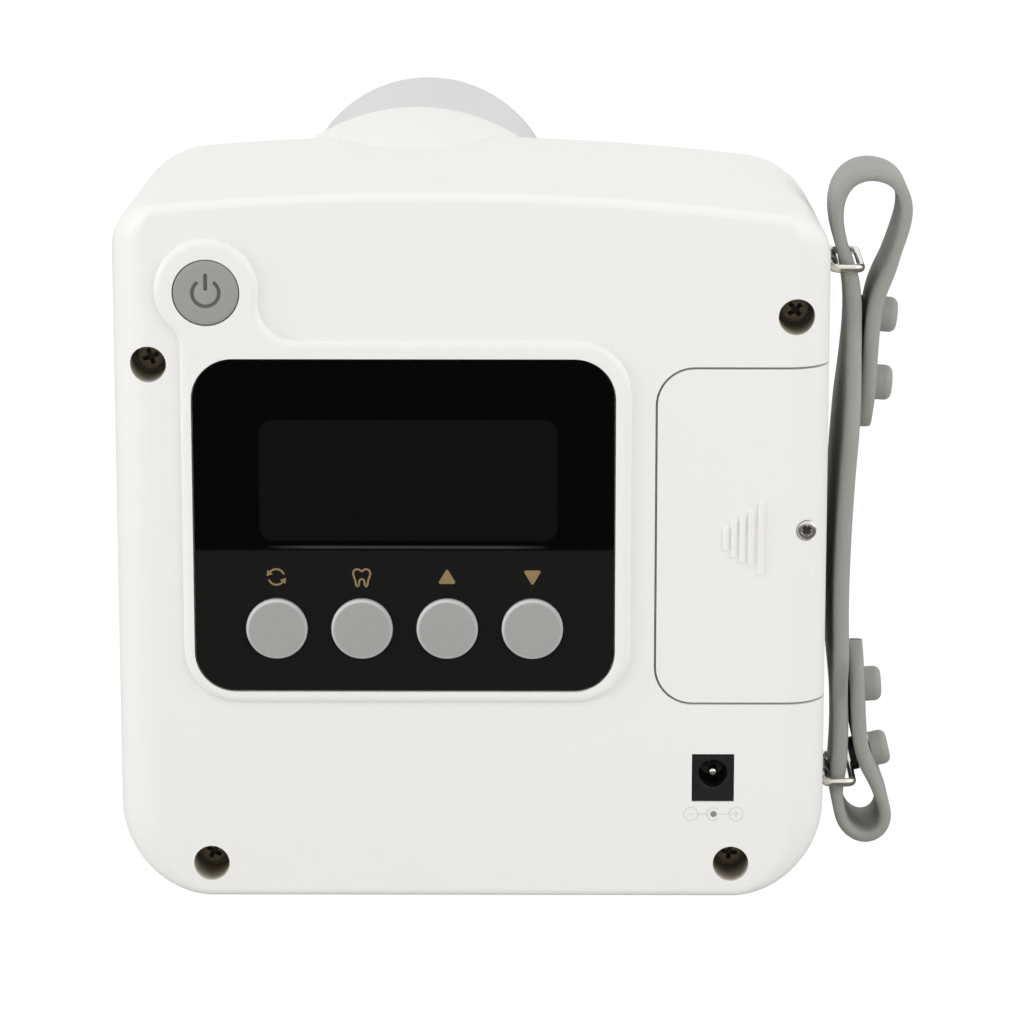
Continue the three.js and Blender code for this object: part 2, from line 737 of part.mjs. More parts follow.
const mainBoardPosts = [-1, 1].flatMap((sx) => [-1, 1].map((sz) => [
  mainBoardX + sx * (mainBoardWidth / 2 - boardPostMargin),
  mainBoardZ + sz * (mainBoardHeight / 2 - boardPostMargin)
]));
const exposureFlangeBack = frontInner - gap - exposureFlangeThickness;
const exposurePlungerEnd = exposureFlangeBack - exposureTravel - switchSlack;
const exposureBoardY = exposurePlungerEnd - plungerLength - exposureSwitchHeight - gap - boardThickness;
const exposurePosts = [-1, 1].map((s) => [exposureX, exposureZ + (s * exposurePostSpacing) / 2]);

// A post with a peg that holds a board; towards is +1 for a board further along y
function boardPost([x, z], root, seat, towards) {
  const face = seat - gap * towards;
  const tip = seat + (boardThickness + pegLength) * towards;
  const [a, b] = [Math.min(root, face), Math.max(root, face)];
  const [c, d] = [Math.min(face - gap * towards, tip), Math.max(face - gap * towards, tip)];
  return join(rod(postRadius, a, b, x, z, 10), rod(pegRadius, c, d, x, z, 8));
}

function boardWithHoles(x, z, width, height, y0, holes) {
  const tools = holes.map(([hx, hz]) => rod(pegRadius + gap, y0 - overrun, y0 + boardThickness + overrun, hx, hz, 8));
  return cut(block(x - width / 2, x + width / 2, y0, y0 + boardThickness, z - height / 2, z + height / 2), ...tools);
}

// Rear housing with frame, lobe, screw posts, door opening and ledge
function rearHousing() {
  let solid = rearForm(0, seamDepth);
  solid = join(solid, sleeveForm(wall - tongueThickness, seamDepth - tongueLength, tongueEnd), raisedFrame());
  solid = cut(solid, rearForm(wall, tongueEnd + overrun));

  const ring = cut(rearForm(doorInner, tongueEnd), rearForm(doorInner + ledgeThickness, tongueEnd + overrun));
  const opening = plate(doorShape(-ledgeWidth), -overrun, tongueEnd + overrun);
  const ledgeBand = cut(plate(doorShape(doorSeam + ledgeOverlap), 0, tongueEnd), opening);
  const sideLedge = block(
    doorLeft, bodyWidth / 2, tongueEnd - sideLedgeDepth, tongueEnd, doorBottom - ledgeOverlap, doorTop + ledgeOverlap
  );
  const doorCut = cut(
    plate(doorShape(doorSeam), -overrun, seamDepth + gap),
    rearForm(doorInner, tongueEnd + overrun)
  );
  solid = join(cut(solid, doorCut, opening), ring.intersect(join(ledgeBand, sideLedge)));

  const boss = block(
    doorScrewX - doorScrewBossHalf, bodyWidth / 2, tongueEnd - doorScrewBossDepth, tongueEnd,
    doorScrewZ - doorScrewBossHalf, doorScrewZ + doorScrewBossHalf
  );
  solid = join(solid, boss.intersect(rearForm(doorInner, tongueEnd)));
  solid = cut(solid, rod(doorScrewShankRadius + gap, -overrun, tongueEnd + overrun, doorScrewX, doorScrewZ, 12));

  const bodyCore = rearForm(wall / 2, tongueEnd);
  for (const [x, z] of screwPlaces) {
    solid = join(solid, rod(rearPostRadius, wall / 2, tongueEnd, x, z, 16).intersect(bodyCore));
  }
  for (const [x, z] of screwPlaces) {
    solid = cut(
      solid,
      rod(counterboreDiameter / 2, -overrun, counterboreFloor, x, z, 20),
      rod(screwShankRadius + gap, -overrun, tongueEnd + overrun, x, z, 10)
    );
  }

  solid = join(
    solid,
    ...displayBoardPosts.map((place) => boardPost(place, wall / 2, displayBoardY, 1)),
    ...powerBoardPosts.map((place) => boardPost(place, wall / 2, displayBoardY, 1)),
    ...inletPosts.map((place) => boardPost(place, wall / 2, inletBoardY, 1))
  );

  const pocket = roundedRectangle(lensX, lensZ, lensWidth + gap * 2, lensHeight + gap * 2, lensCornerRadius + gap);
  const windowMargin = (displayGlassMargin + gap) * 2;
  const windowCut = roundedRectangle(
    displayX, displayZ, displayWindowWidth + windowMargin, displayWindowHeight + windowMargin, displayWindowRadius
  );
  solid = cut(
    solid,
    plate(pocket, -frameRise - overrun, lensBack + gap),
    plate(windowCut, -overrun, wall + overrun),
    rod(powerDiameter / 2 + gap, -frameRise - overrun, wall + overrun, powerX, powerZ, 24),
    block(
      inletX - inletWidth / 2 - gap, inletX + inletWidth / 2 + gap, -overrun, wall + overrun,
      inletZ - inletHeight / 2 - gap, inletZ + inletHeight / 2 + gap
    )
  );
  for (let i = 0; i < buttonCount; i++) {
    solid = cut(solid, rod(buttonDiameter / 2 + gap, -overrun, wall + overrun, buttonX(i), buttonZ, 18));
  }
  return solid;
}

// Swelling of the collar out of the body's top: its radius grows smoothly with depth
function humpRadius(y) {
  const along = THREE.MathUtils.smoothstep(y, humpStartY, humpEndY);
  return THREE.MathUtils.lerp(humpStartRadius, collarRadius, along);
}

// Front housing with collar, seat for the cone, posts, shelves, and slots for the strap clips
function frontHousing() {
  const hump = [[0, humpStartY]];
  for (let k = 0; k <= humpSteps; k++) {
    const y = THREE.MathUtils.lerp(humpStartY, humpEndY, k / humpSteps);
    hump.push([humpRadius(y), y]);
  }
  const bend = Math.SQRT1_2 * collarEdgeRadius;
  hump.push([collarRadius, collarEnd - collarEdgeRadius]);
  hump.push([collarRadius - collarEdgeRadius + bend, collarEnd - collarEdgeRadius + bend]);
  hump.push([collarRadius - collarEdgeRadius, collarEnd], [0, collarEnd]);

  const start = seamDepth + seamGap;
  let solid = join(frontForm(0, start), turned(hump, noseX, noseZ, noseSides));
  solid = cut(solid, frontForm(wall, start - overrun));
  solid = cut(solid, sleeveForm(wall - tongueThickness - gap, start - overrun, tongueEnd + gap));

  solid = join(solid, rod(collarRadius - wall, seatBack, collarEnd - gap, noseX, noseZ, noseSides));
  solid = cut(
    solid,
    rod(flangeRadius + socketClearance, seatFace, collarEnd + overrun, noseX, noseZ, noseSides),
    rod(portRadius, seatBack - overrun, collarEnd + overrun, noseX, noseZ, noseSides)
  );

  const cavitySide = frontForm(wall / 2, start);
  for (const [x, z] of screwPlaces) {
    const post = cut(
      rod(frontPostRadius, tongueEnd + gap, tongueEnd + gap + frontPostLength, x, z, 16),
      rod(screwShankRadius + gap, tongueEnd - overrun, tongueEnd + gap + screwReach + gap, x, z, 10)
    );
    solid = join(solid, post.intersect(cavitySide));
  }

  solid = join(
    solid,
    ...mainBoardPosts.map((place) => boardPost(place, frontInner + wall / 2, mainBoardY + boardThickness, -1)),
    ...exposurePosts.map((place) => boardPost(place, frontInner + wall / 2, exposureBoardY + boardThickness, -1))
  );

  const trayHalfHeight = batteryHeight / 2 + gap + trayWall;
  for (const side of [-1, 1]) {
    const inner = batteryZ + side * (trayHalfHeight + gap);
    const outer = inner + side * shelfThickness;
    solid = join(solid, block(
      batteryX - batteryWidth / 2, bodyWidth / 2 - wall / 2, shelfStart, shelfStart + shelfLength,
      Math.min(inner, outer), Math.max(inner, outer)
    ));
  }
  const shelfTop = noseZ - generatorHeight / 2 - gap;
  solid = join(solid, block(
    noseX - generatorWidth / 2, noseX + generatorWidth / 2, generatorEndY - shelfLength, seatFace - gap,
    shelfTop - shelfThickness, shelfTop
  ));

  const guardOuter = exposureDiameter / 2 + gap + guardWidth;
  solid = join(solid, turned([
    [0, frontInner + wall / 2], [guardOuter, frontInner + wall / 2], [guardOuter, bodyDepth + guardRise / 2],
    [guardOuter - guardRise / 2, bodyDepth + guardRise], [0, bodyDepth + guardRise]
  ], exposureX, exposureZ, 28));
  const exposureHole = exposureDiameter / 2 + gap;
  solid = cut(solid, rod(exposureHole, frontInner - overrun, bodyDepth + overrun, exposureX, exposureZ, 24));

  for (const z of [ringUpperZ, ringLowerZ]) {
    solid = cut(solid, block(
      clipFlangeX - overrun / 2, bodyWidth / 2 + overrun, ringY - clipLength / 2 - gap, ringY + clipLength / 2 + gap,
      z - clipTailThickness / 2 - gap, z + clipTailThickness / 2 + gap
    ));
  }
  return solid;
}

// Lens plate with a hole for each button
function displayLens() {
  const shape = roundedRectangle(lensX, lensZ, lensWidth, lensHeight, lensCornerRadius);
  const holes = [];
  for (let i = 0; i < buttonCount; i++) {
    holes.push(rod(buttonDiameter / 2 + gap, lensFace - overrun, lensBack + overrun, buttonX(i), buttonZ, 24));
  }
  return cut(plate(shape, lensFace, lensBack, 6), ...holes);
}

// Display module: a frame with its glass standing forward into the window
function displayModule() {
  const front = wall + gap;
  const glassMargin = displayGlassMargin * 2;
  const glassShape = roundedRectangle(
    displayX, displayZ, displayWindowWidth + glassMargin, displayWindowHeight + glassMargin, displayWindowRadius
  );
  const back = block(
    displayX - moduleWidth / 2, displayX + moduleWidth / 2, front, displayBoardY - gap,
    displayZ - moduleHeight / 2, displayZ + moduleHeight / 2
  );
  return join(back, plate(glassShape, lensBack + gap, front + wall));
}

// A round button: rounded face, straight cap, and a flange that keeps it in
function roundButton(x, z, radius, face, flangeFace, flangeWidth, flangeThickness, edge, inward) {
  const bend = edge * (1 - Math.SQRT1_2);
  const y = (depth) => face + inward * depth;
  const flange = inward * (flangeFace - face);
  return turned([
    [0, face], [radius - edge, face], [radius - bend, y(bend)], [radius, y(edge)], [radius, y(flange)],
    [radius + flangeWidth, y(flange)], [radius + flangeWidth, y(flange + flangeThickness)],
    [0, y(flange + flangeThickness)]
  ], x, z, 22);
}

const functionButton = (i) => roundButton(
  buttonX(i), buttonZ, buttonDiameter / 2, lensFace - buttonProud, wall + gap,
  buttonFlangeWidth, buttonFlangeThickness, buttonEdgeRadius, 1
);

const powerButton = () => roundButton(
  powerX, powerZ, powerDiameter / 2, -frameRise - powerProud, wall + gap,
  powerFlangeWidth, powerFlangeThickness, buttonEdgeRadius, 1
);

function pushSwitch(x, z, side, plungerTip, base) {
  const top = plungerTip + plungerLength;
  return join(
    block(x - side / 2, x + side / 2, top, base, z - side / 2, z + side / 2),
    rod(plungerRadius, plungerTip, top + gap, x, z, 14)
  );
}

const buttonSwitch = (i) => pushSwitch(
  buttonX(i), buttonZ, switchSide,
  wall + gap + buttonFlangeThickness + buttonTravel + switchSlack, displayBoardY - gap
);

const powerSwitch = () => pushSwitch(
  powerX, powerZ, switchSide,
  wall + gap + powerFlangeThickness + powerTravel + switchSlack, displayBoardY - gap
);

// A screw along y with a dished cross recess; the head's face looks towards -y
function screw(x, z, face, headRadius, headHeight, shankRadius, length) {
  const domed = headHeight / 3;
  const body = turned([
    [0, face], [headRadius - domed, face], [headRadius, face + domed], [headRadius, face + headHeight],
    [shankRadius, face + headHeight], [shankRadius, face + length - shankRadius], [0, face + length]
  ], x, z, 14);
  const depth = Math.min(driveRecessDepth, headHeight / 2);
  const reach = Math.min(driveRecessRadius, headRadius / 2);
  const half = Math.min(driveSlotWidth, headRadius / 3) / 2;
  return cut(
    body,
    block(x - reach, x + reach, face - overrun, face + depth, z - half, z + half),
    block(x - half, x + half, face - overrun, face + depth, z - reach, z + reach)
  );
}

const housingScrewFace = counterboreFloor - gap - screwHeadHeight;
const housingScrew = ([x, z]) => screw(
  x, z, housingScrewFace, screwHeadRadius, screwHeadHeight, screwShankRadius,
  tongueEnd + gap + screwReach - housingScrewFace
);

// Battery door: a piece of the rear skin with grip ribs and a screw seat
function batteryDoor() {
  let solid = rearForm(0, seamDepth).intersect(plate(doorShape(0), -overrun, seamDepth + overrun));
  solid = cut(solid, rearForm(doorThickness, seamDepth + overrun));
  gripRibX.forEach((x, i) => {
    const half = gripRibHeights[i] / 2;
    const geometry = new THREE.CylinderGeometry(gripRibWidth / 2, gripRibWidth / 2, gripRibHeights[i], 10);
    geometry.rotateX(Math.PI / 2);
    geometry.translate(x, gripRibWidth / 2 - gripRibRise, gripRibZ);
    const ends = block(
      x - gripRibWidth, x + gripRibWidth, -gripRibRise, doorThickness / 2, gripRibZ - half, gripRibZ + half
    );
    solid = join(solid, toSolid(geometry).intersect(ends));
  });
  return cut(
    solid,
    rod(doorScrewHeadRadius + gap, -overrun, doorScrewSeatY, doorScrewX, doorScrewZ, 20),
    rod(doorScrewShankRadius + gap, -overrun, seamDepth, doorScrewX, doorScrewZ, 12)
  );
}

const doorScrewFace = doorScrewSeatY - gap - doorScrewHeadHeight;
const doorScrew = () => screw(
  doorScrewX, doorScrewZ, doorScrewFace, doorScrewHeadRadius, doorScrewHeadHeight, doorScrewShankRadius,
  doorScrewHeadHeight + doorScrewReach
);

const batteryEnd = batteryY + batteryDepth;
function batteryPack() {
  return plate(
    roundedRectangle(batteryX, batteryZ, batteryWidth, batteryHeight, batteryEdgeRadius), batteryY, batteryEnd, 3
  );
}

const trayStart = tongueEnd + gap * 2;
const trayFloor = batteryEnd + trayFloorGap;
const contactZ = (s) => batteryZ + (s * contactSpacing) / 2;

function batteryTray() {
  const half = [batteryWidth / 2 + gap, batteryHeight / 2 + gap];
  const outer = block(
    batteryX - half[0] - trayWall, batteryX + half[0] + trayWall, trayStart, trayFloor + trayWall,
    batteryZ - half[1] - trayWall, batteryZ + half[1] + trayWall
  );
  const inner = block(
    batteryX - half[0], batteryX + half[0], trayStart - overrun, trayFloor, batteryZ - half[1], batteryZ + half[1]
  );
  const slots = [-1, 1].map((s) => block(
    batteryX - contactThickness / 2 - gap, batteryX + contactThickness / 2 + gap,
    trayFloor - overrun, trayFloor + trayWall + overrun,
    contactZ(s) - contactWidth / 2 - gap, contactZ(s) + contactWidth / 2 + gap
  ));
  return cut(outer, inner, ...slots);
}

// A contact pad on the tray's floor with a blade through it
function batteryContact(s) {
  const z = contactZ(s);
  const face = batteryEnd + gap;
  const pad = block(
    batteryX - contactWidth / 2, batteryX + contactWidth / 2, face, face + contactThickness,
    z - contactHeight / 2, z + contactHeight / 2
  );
  const blade = block(
    batteryX - contactThickness / 2, batteryX + contactThickness / 2, face, trayFloor + trayWall + contactTail,
    z - contactWidth / 2, z + contactWidth / 2
  );
  return join(pad, blade);
}

// Power inlet: a square block with a round socket, and its centre pin
function inlet() {
  const face = inletRecess;
  const z = inletZ + inletBoreLift;
  const bodyBlock = block(
    inletX - inletWidth / 2, inletX + inletWidth / 2, face, inletBack,
    inletZ - inletHeight / 2, inletZ + inletHeight / 2
  );
  return cut(
    bodyBlock,
    rod(inletBoreRadius, face - overrun, face + inletBoreDepth, inletX, z, 24),
    rod(inletPinRadius + gap, face, inletBack + overrun, inletX, z, 14),
    rod(inletPinHeadRadius + gap, inletBack - inletPinHeadLength - gap, inletBack + overrun, inletX, z, 16)
  );
}

function inletPin() {
  const tip = inletPinRadius / 2;
  const start = inletRecess + inletPinRadius;
  return turned([
    [0, start], [inletPinRadius - tip, start], [inletPinRadius, start + tip],
    [inletPinRadius, inletBack - inletPinHeadLength], [inletPinHeadRadius, inletBack - inletPinHeadLength],
    [inletPinHeadRadius, inletBack], [0, inletBack]
  ], inletX, inletZ + inletBoreLift, 14);
}

// Beam cone with its flange, and what sits in and on it
const flangeFace = seatFace + gap;
const flangeBack = flangeFace + flangeThickness;
const coneEnd = collarEnd + coneLength;
const coneRadius = (y) => THREE.MathUtils.mapLinear(y, flangeBack, coneEnd, coneBaseRadius, coneTipRadius);
const endRingStart = coneEnd - endRingLength;

function beamCone() {
  const shoulder = endRingStart - gap;
  const end = coneEnd - endRingThickness - gap;
  const stepRadius = coneRadius(endRingStart) - endRingThickness - gap;
  return turnedRing([
    [coneBoreRadius, flangeFace], [flangeRadius, flangeFace], [flangeRadius, flangeBack],
    [coneBaseRadius, flangeBack], [coneRadius(shoulder), shoulder], [stepRadius, shoulder],
    [stepRadius, end], [coneBoreRadius, end]
  ], noseX, noseZ, noseSides);
}

function coneEndRing() {
  const outer = coneRadius(endRingStart);
  const inner = outer - endRingThickness;
  const bend = endRingThickness / 2;
  return turnedRing([
    [inner, endRingStart], [outer, endRingStart], [outer, coneEnd - bend], [outer - bend, coneEnd],
    [coneBoreRadius - endRingLip / 2, coneEnd], [coneBoreRadius - endRingLip / 2, coneEnd - endRingThickness],
    [inner, coneEnd - endRingThickness]
  ], noseX, noseZ, noseSides);
}

const collimatorBack = flangeFace + flangeThickness;
const collimator = () => turnedRing([
  [collimatorHoleRadius, flangeFace], [coneBoreRadius - gap, flangeFace],
  [coneBoreRadius - gap, collimatorBack], [collimatorHoleRadius, collimatorBack]
], noseX, noseZ, 28);

const coneLiner = () => turnedRing([
  [coneBoreRadius - gap - linerThickness, collimatorBack + gap], [coneBoreRadius - gap, collimatorBack + gap],
  [coneBoreRadius - gap, coneEnd - linerSetback], [coneBoreRadius - gap - linerThickness, coneEnd - linerSetback]
], noseX, noseZ, noseSides);

const retainingRing = () => turnedRing([
  [coneBaseRadius + gap, flangeBack + gap], [flangeRadius, flangeBack + gap],
  [flangeRadius, collarEnd - gap * 2], [flangeRadius - gap * 2, collarEnd - gap],
  [coneBaseRadius + gap, collarEnd - gap]
], noseX, noseZ, noseSides);

const beamFilter = () => rod(portRadius - gap, seatFace - filterThickness, seatFace, noseX, noseZ, 28);

// Generator: a case open at the back, its cover and screws, the tube on two saddles, and the transformer
const columnPlaces = [-1, 1].map((s) => [
  noseX + s * (generatorWidth / 2 - generatorColumn), noseZ + s * (generatorHeight / 2 - generatorColumn)
]);

function generatorCase() {
  const outline = (margin) => roundedRectangle(
    noseX, noseZ, generatorWidth - margin * 2, generatorHeight - margin * 2, generatorCornerRadius - margin
  );
  let solid = cut(
    plate(outline(0), generatorStartY, generatorEndY, 4),
    plate(outline(generatorWall), generatorStartY - overrun, generatorEndY - generatorWall, 4)
  );
  for (const [x, z] of columnPlaces) {
    solid = join(solid, rod(generatorColumn - gap, generatorStartY, generatorEndY - generatorWall / 2, x, z, 16));
  }
  const floor = noseZ - generatorHeight / 2 + generatorWall / 2;
  for (const s of [-1, 1]) {
    const x = noseX + (s * saddleSpacing) / 2;
    solid = join(solid, block(
      x - saddleThickness / 2, x + saddleThickness / 2, tubeY - saddleDepth / 2, tubeY + saddleDepth / 2,
      floor, noseZ - tubeRadius / 2
    ));
  }
  const reach = tubeLength / 2;
  solid = cut(
    solid,
    rodAcross(tubeRadius + gap, noseX - reach, noseX + reach, tubeY, noseZ, 20),
    rod(collimatorHoleRadius, tubeY + tubeRadius, generatorEndY + overrun, noseX, noseZ, 28)
  );
  for (const [x, z] of columnPlaces) {
    solid = cut(solid, rod(
      generatorScrewRadius + gap, generatorStartY - overrun, generatorStartY + generatorScrewReach + gap, x, z, 12
    ));
  }
  return solid;
}

const coverFace = generatorStartY - gap - generatorCoverThickness;
function generatorCover() {
  const shape = roundedRectangle(noseX, noseZ, generatorWidth, generatorHeight, generatorCornerRadius);
  const holes = columnPlaces.map(([x, z]) => rod(
    generatorScrewRadius + gap, coverFace - overrun, generatorStartY + overrun, x, z, 12
  ));
  return cut(plate(shape, coverFace, coverFace + generatorCoverThickness, 4), ...holes);
}

const generatorScrew = ([x, z]) => screw(
  x, z, coverFace - gap - generatorScrewHeadHeight, generatorScrewHeadRadius, generatorScrewHeadHeight,
  generatorScrewRadius, generatorScrewHeadHeight + gap * 2 + generatorCoverThickness + generatorScrewReach
);

// Turns a solid made about a line along y so that it lies along x, through the tube's middle
function acrossNose(profile, sides) {
  const points = profile.map(([r, y]) => new THREE.Vector2(r, y));
  const geometry = new THREE.LatheGeometry(points, sides);
  geometry.rotateZ(-Math.PI / 2);
  geometry.translate(noseX, tubeY, noseZ);
  return toSolid(geometry);
}

// Glass envelope, open at both necks
function xrayTube() {
  const half = tubeLength / 2;
  const shoulder = half - tubeNeckLength;
  const slope = tubeRadius - tubeNeckRadius;
  return acrossNose([
    [tubeCavityRadius, -half], [tubeNeckRadius, -half], [tubeNeckRadius, -shoulder],
    [tubeRadius, slope - shoulder], [tubeRadius, shoulder - slope], [tubeNeckRadius, shoulder],
    [tubeNeckRadius, half], [tubeCavityRadius, half], [tubeCavityRadius, -half]
  ], 20);
}

function tubeAnode() {
  const half = tubeLength / 2;
  const body = acrossNose([
    [0, half - anodeLength], [anodeRadius, half - anodeLength], [anodeRadius, half],
    [anodeRadius / 2, half], [anodeRadius / 2, half + anodeStemLength], [0, half + anodeStemLength]
  ], 20);
  const bevel = new THREE.BoxGeometry(anodeLength, anodeRadius * 4, anodeRadius * 4);
  bevel.translate(-anodeLength / 2, 0, 0);
  bevel.rotateZ(THREE.MathUtils.degToRad(-anodeAngle));
  bevel.translate(noseX + half - anodeLength + anodeRadius / 2, tubeY, noseZ);
  return cut(body, toSolid(bevel));
}

function tubeCathode() {
  const half = tubeLength / 2;
  return acrossNose([
    [0, -half - anodeStemLength], [cathodeRadius / 2, -half - anodeStemLength], [cathodeRadius / 2, -half],
    [tubeCavityRadius - gap, -half], [tubeCavityRadius - gap, gap * 4 - half], [cathodeRadius, gap * 4 - half],
    [cathodeRadius, cathodeLength - half], [0, cathodeLength - half]
  ], 18);
}

function transformer() {
  const x = noseX;
  const z0 = noseZ - generatorHeight / 2 + generatorWall + gap;
  const y0 = generatorStartY + gap;
  const [x0, x1, z1] = [x - transformerWidth / 2, x + transformerWidth / 2, z0 + transformerHeight];
  const core = block(x0, x1, y0, y0 + transformerDepth, z0, z1);
  const windows = [-1, 1].map((s) => {
    const middle = x + s * (transformerLimb / 2 + transformerWindow / 2);
    return block(
      middle - transformerWindow / 2, middle + transformerWindow / 2, y0 - overrun, y0 + transformerDepth + overrun,
      z0 + transformerLimb, z1 - transformerLimb
    );
  });
  const coil = new THREE.CylinderGeometry(windingRadius, windingRadius, transformerHeight - transformerLimb, 20);
  coil.rotateX(Math.PI / 2);
  coil.translate(x, y0 + transformerDepth / 2, (z0 + z1) / 2);
  return join(cut(core, ...windows), toSolid(coil));
}

// Main board parts; each stands on the board's rear side
const onBoard = mainBoardY - gap;
function inverterCoil() {
  const points = [];
  const steps = 8;
  for (let k = 0; k <= steps; k++) {
    const angle = (Math.PI * 2 * k) / steps;
    points.push([coilRadius - coilTubeRadius + Math.cos(angle) * coilTubeRadius, Math.sin(angle) * coilTubeRadius]);
  }
  const flat = points.map(([r, y]) => [r, onBoard - coilTubeRadius + y]);
  flat[steps] = flat[0];
  return turned(flat, mainBoardX - mainBoardWidth / 4, mainBoardZ, 18);
}

function capacitor() {
  const rim = capacitorRadius / 8;
  const x = mainBoardX + mainBoardWidth / 4;
  const z = mainBoardZ;
  const face = onBoard - capacitorLength;
  return turned([
    [0, face], [capacitorRadius - rim, face], [capacitorRadius, face + rim], [capacitorRadius, onBoard - rim * 3],
    [capacitorRadius - rim, onBoard - rim * 2], [capacitorRadius, onBoard - rim], [capacitorRadius, onBoard],
    [0, onBoard]
  ], x, z, 18);
}

const buzzer = () => turned([
  [0, onBoard - buzzerHeight + gap], [plungerRadius / 2, onBoard - buzzerHeight + gap],
  [plungerRadius / 2, onBoard - buzzerHeight], [buzzerRadius, onBoard - buzzerHeight], [buzzerRadius, onBoard],
  [0, onBoard]
], mainBoardX, mainBoardZ - mainBoardHeight / 3, 14);

// Exposure button with a dished face, its switch and board
function exposureButton() {
  const radius = exposureDiameter / 2;
  const face = bodyDepth + exposureProud;
  const bend = exposureEdgeRadius * (1 - Math.SQRT1_2);
  const flangeFront = frontInner - gap;
  return turned([
    [0, exposureFlangeBack], [radius + exposureFlangeWidth, exposureFlangeBack],
    [radius + exposureFlangeWidth, flangeFront], [radius, flangeFront], [radius, face - exposureEdgeRadius],
    [radius - bend, face - bend], [radius - exposureEdgeRadius, face], [radius / 2, face - exposureDish * 0.75],
    [0, face - exposureDish]
  ], exposureX, exposureZ, 22);
}

function exposureSwitch() {
  const top = exposurePlungerEnd - plungerLength;
  const half = exposureSwitchSide / 2;
  return join(
    block(exposureX - half, exposureX + half, top - exposureSwitchHeight, top, exposureZ - half, exposureZ + half),
    rod(plungerRadius, top - gap, exposurePlungerEnd, exposureX, exposureZ, 14)
  );
}

// Wire ring that the strap runs through: a rounded rectangle lying flat
function strapRing(z) {
  const corners = [
    [ringOuterX, ringY + ringLength / 2, 0], [ringInnerX, ringY + ringLength / 2, 1],
    [ringInnerX, ringY - ringLength / 2, 2], [ringOuterX, ringY - ringLength / 2, 3]
  ];
  const stations = [];
  for (const [x, y, quarter] of corners) {
    const cx = x + (quarter === 0 || quarter === 3 ? -ringCornerRadius : ringCornerRadius);
    const cy = y + (quarter < 2 ? -ringCornerRadius : ringCornerRadius);
    for (let k = 0; k <= 3; k++) {
      const angle = (Math.PI / 2) * (quarter + k / 3);
      stations.push({ x: cx, y: cy, dx: Math.cos(angle), dy: Math.sin(angle) });
    }
  }
  const sides = 8;
  const position = [];
  const index = [];
  stations.forEach((s) => {
    for (let i = 0; i < sides; i++) {
      const angle = (Math.PI * 2 * i) / sides;
      const reach = ringCornerRadius + ringWireRadius * Math.cos(angle);
      position.push(s.x + s.dx * reach, s.y + s.dy * reach, z + ringWireRadius * Math.sin(angle));
    }
  });
  stations.forEach((s, k) => {
    const next = ((k + 1) % stations.length) * sides;
    for (let i = 0; i < sides; i++) {
      const j = (i + 1) % sides;
      index.push(k * sides + i, k * sides + j, next + j, k * sides + i, next + j, next + i);
    }
  });
  const geometry = new THREE.BufferGeometry();
  geometry.setAttribute('position', new THREE.BufferAttribute(new Float32Array(position), 3));
  geometry.setIndex(index);
  return toSolid(geometry);
}

// Folded sheet clip: an eye round the ring's inner limb, a tail through the side wall, and a flange inside
function ringClip(z) {
  const eyeInner = ringWireRadius + clipEyeClearance;
  const eyeOuter = eyeInner + clipSheet;
  const [y0, y1] = [ringY - clipLength / 2, ringY + clipLength / 2];
  const half = clipTailThickness / 2;
  return cut(
    join(
      rod(eyeOuter, y0, y1, ringInnerX, z, 18),
      block(clipFlangeX - clipFlangeThickness, ringInnerX, y0, y1, z - half, z + half),
      block(
        clipFlangeX - clipFlangeThickness, clipFlangeX, y0, y1, z - clipFlangeHeight / 2, z + clipFlangeHeight / 2
      )
    ),
    rod(eyeInner, y0 - overrun, y1 + overrun, ringInnerX, z, 18)
  );
}

// The strap is swept along its middle line; its width swells between the rings for the back of the hand
const strapPoints = strapReaches.map((reach, i) => new THREE.Vector3(
  bodyWidth / 2 + reach, 0, bodyHeight * strapHeightShares[i]
));
const strapCurve = new THREE.CatmullRomCurve3(strapPoints, false, 'centripetal');

function strapHalfWidth(point, along, length) {
  const onMainRun = along > length * mainRunShares[0] && along < length * mainRunShares[1];
  let width = strapEndWidth;
  if (onMainRun) {
    const [narrowTop, wideTop] = strapWideTopShares.map((share) => bodyHeight * share);
    const [narrowBottom, wideBottom] = strapWideBottomShares.map((share) => bodyHeight * share);
    const top = 1 - THREE.MathUtils.smoothstep(point.z, wideTop, narrowTop);
    const bottom = THREE.MathUtils.smoothstep(point.z, narrowBottom, wideBottom);
    width = THREE.MathUtils.lerp(strapEndWidth, strapMiddleWidth, Math.min(top, bottom));
  }
  const fromEnd = Math.min(along, length - along);
  const round = strapEndWidth / 2;
  const rounding = fromEnd < round ? Math.sqrt(1 - (1 - fromEnd / round) ** 2) : 1;
  return (width / 2) * Math.max(rounding, tipShare);
}
const mainRunShares = [0.3, 0.7];
const tipShare = 0.35;

// The strap is thinner in its two end loops, beyond the rings
function strapHalfThickness(z) {
  const above = THREE.MathUtils.smoothstep(z, ringUpperZ - strapThinning, ringUpperZ + strapThinning);
  const below = 1 - THREE.MathUtils.smoothstep(z, ringLowerZ - strapThinning, ringLowerZ + strapThinning);
  return THREE.MathUtils.lerp(strapThickness, strapLoopThickness, Math.max(above, below)) / 2;
}

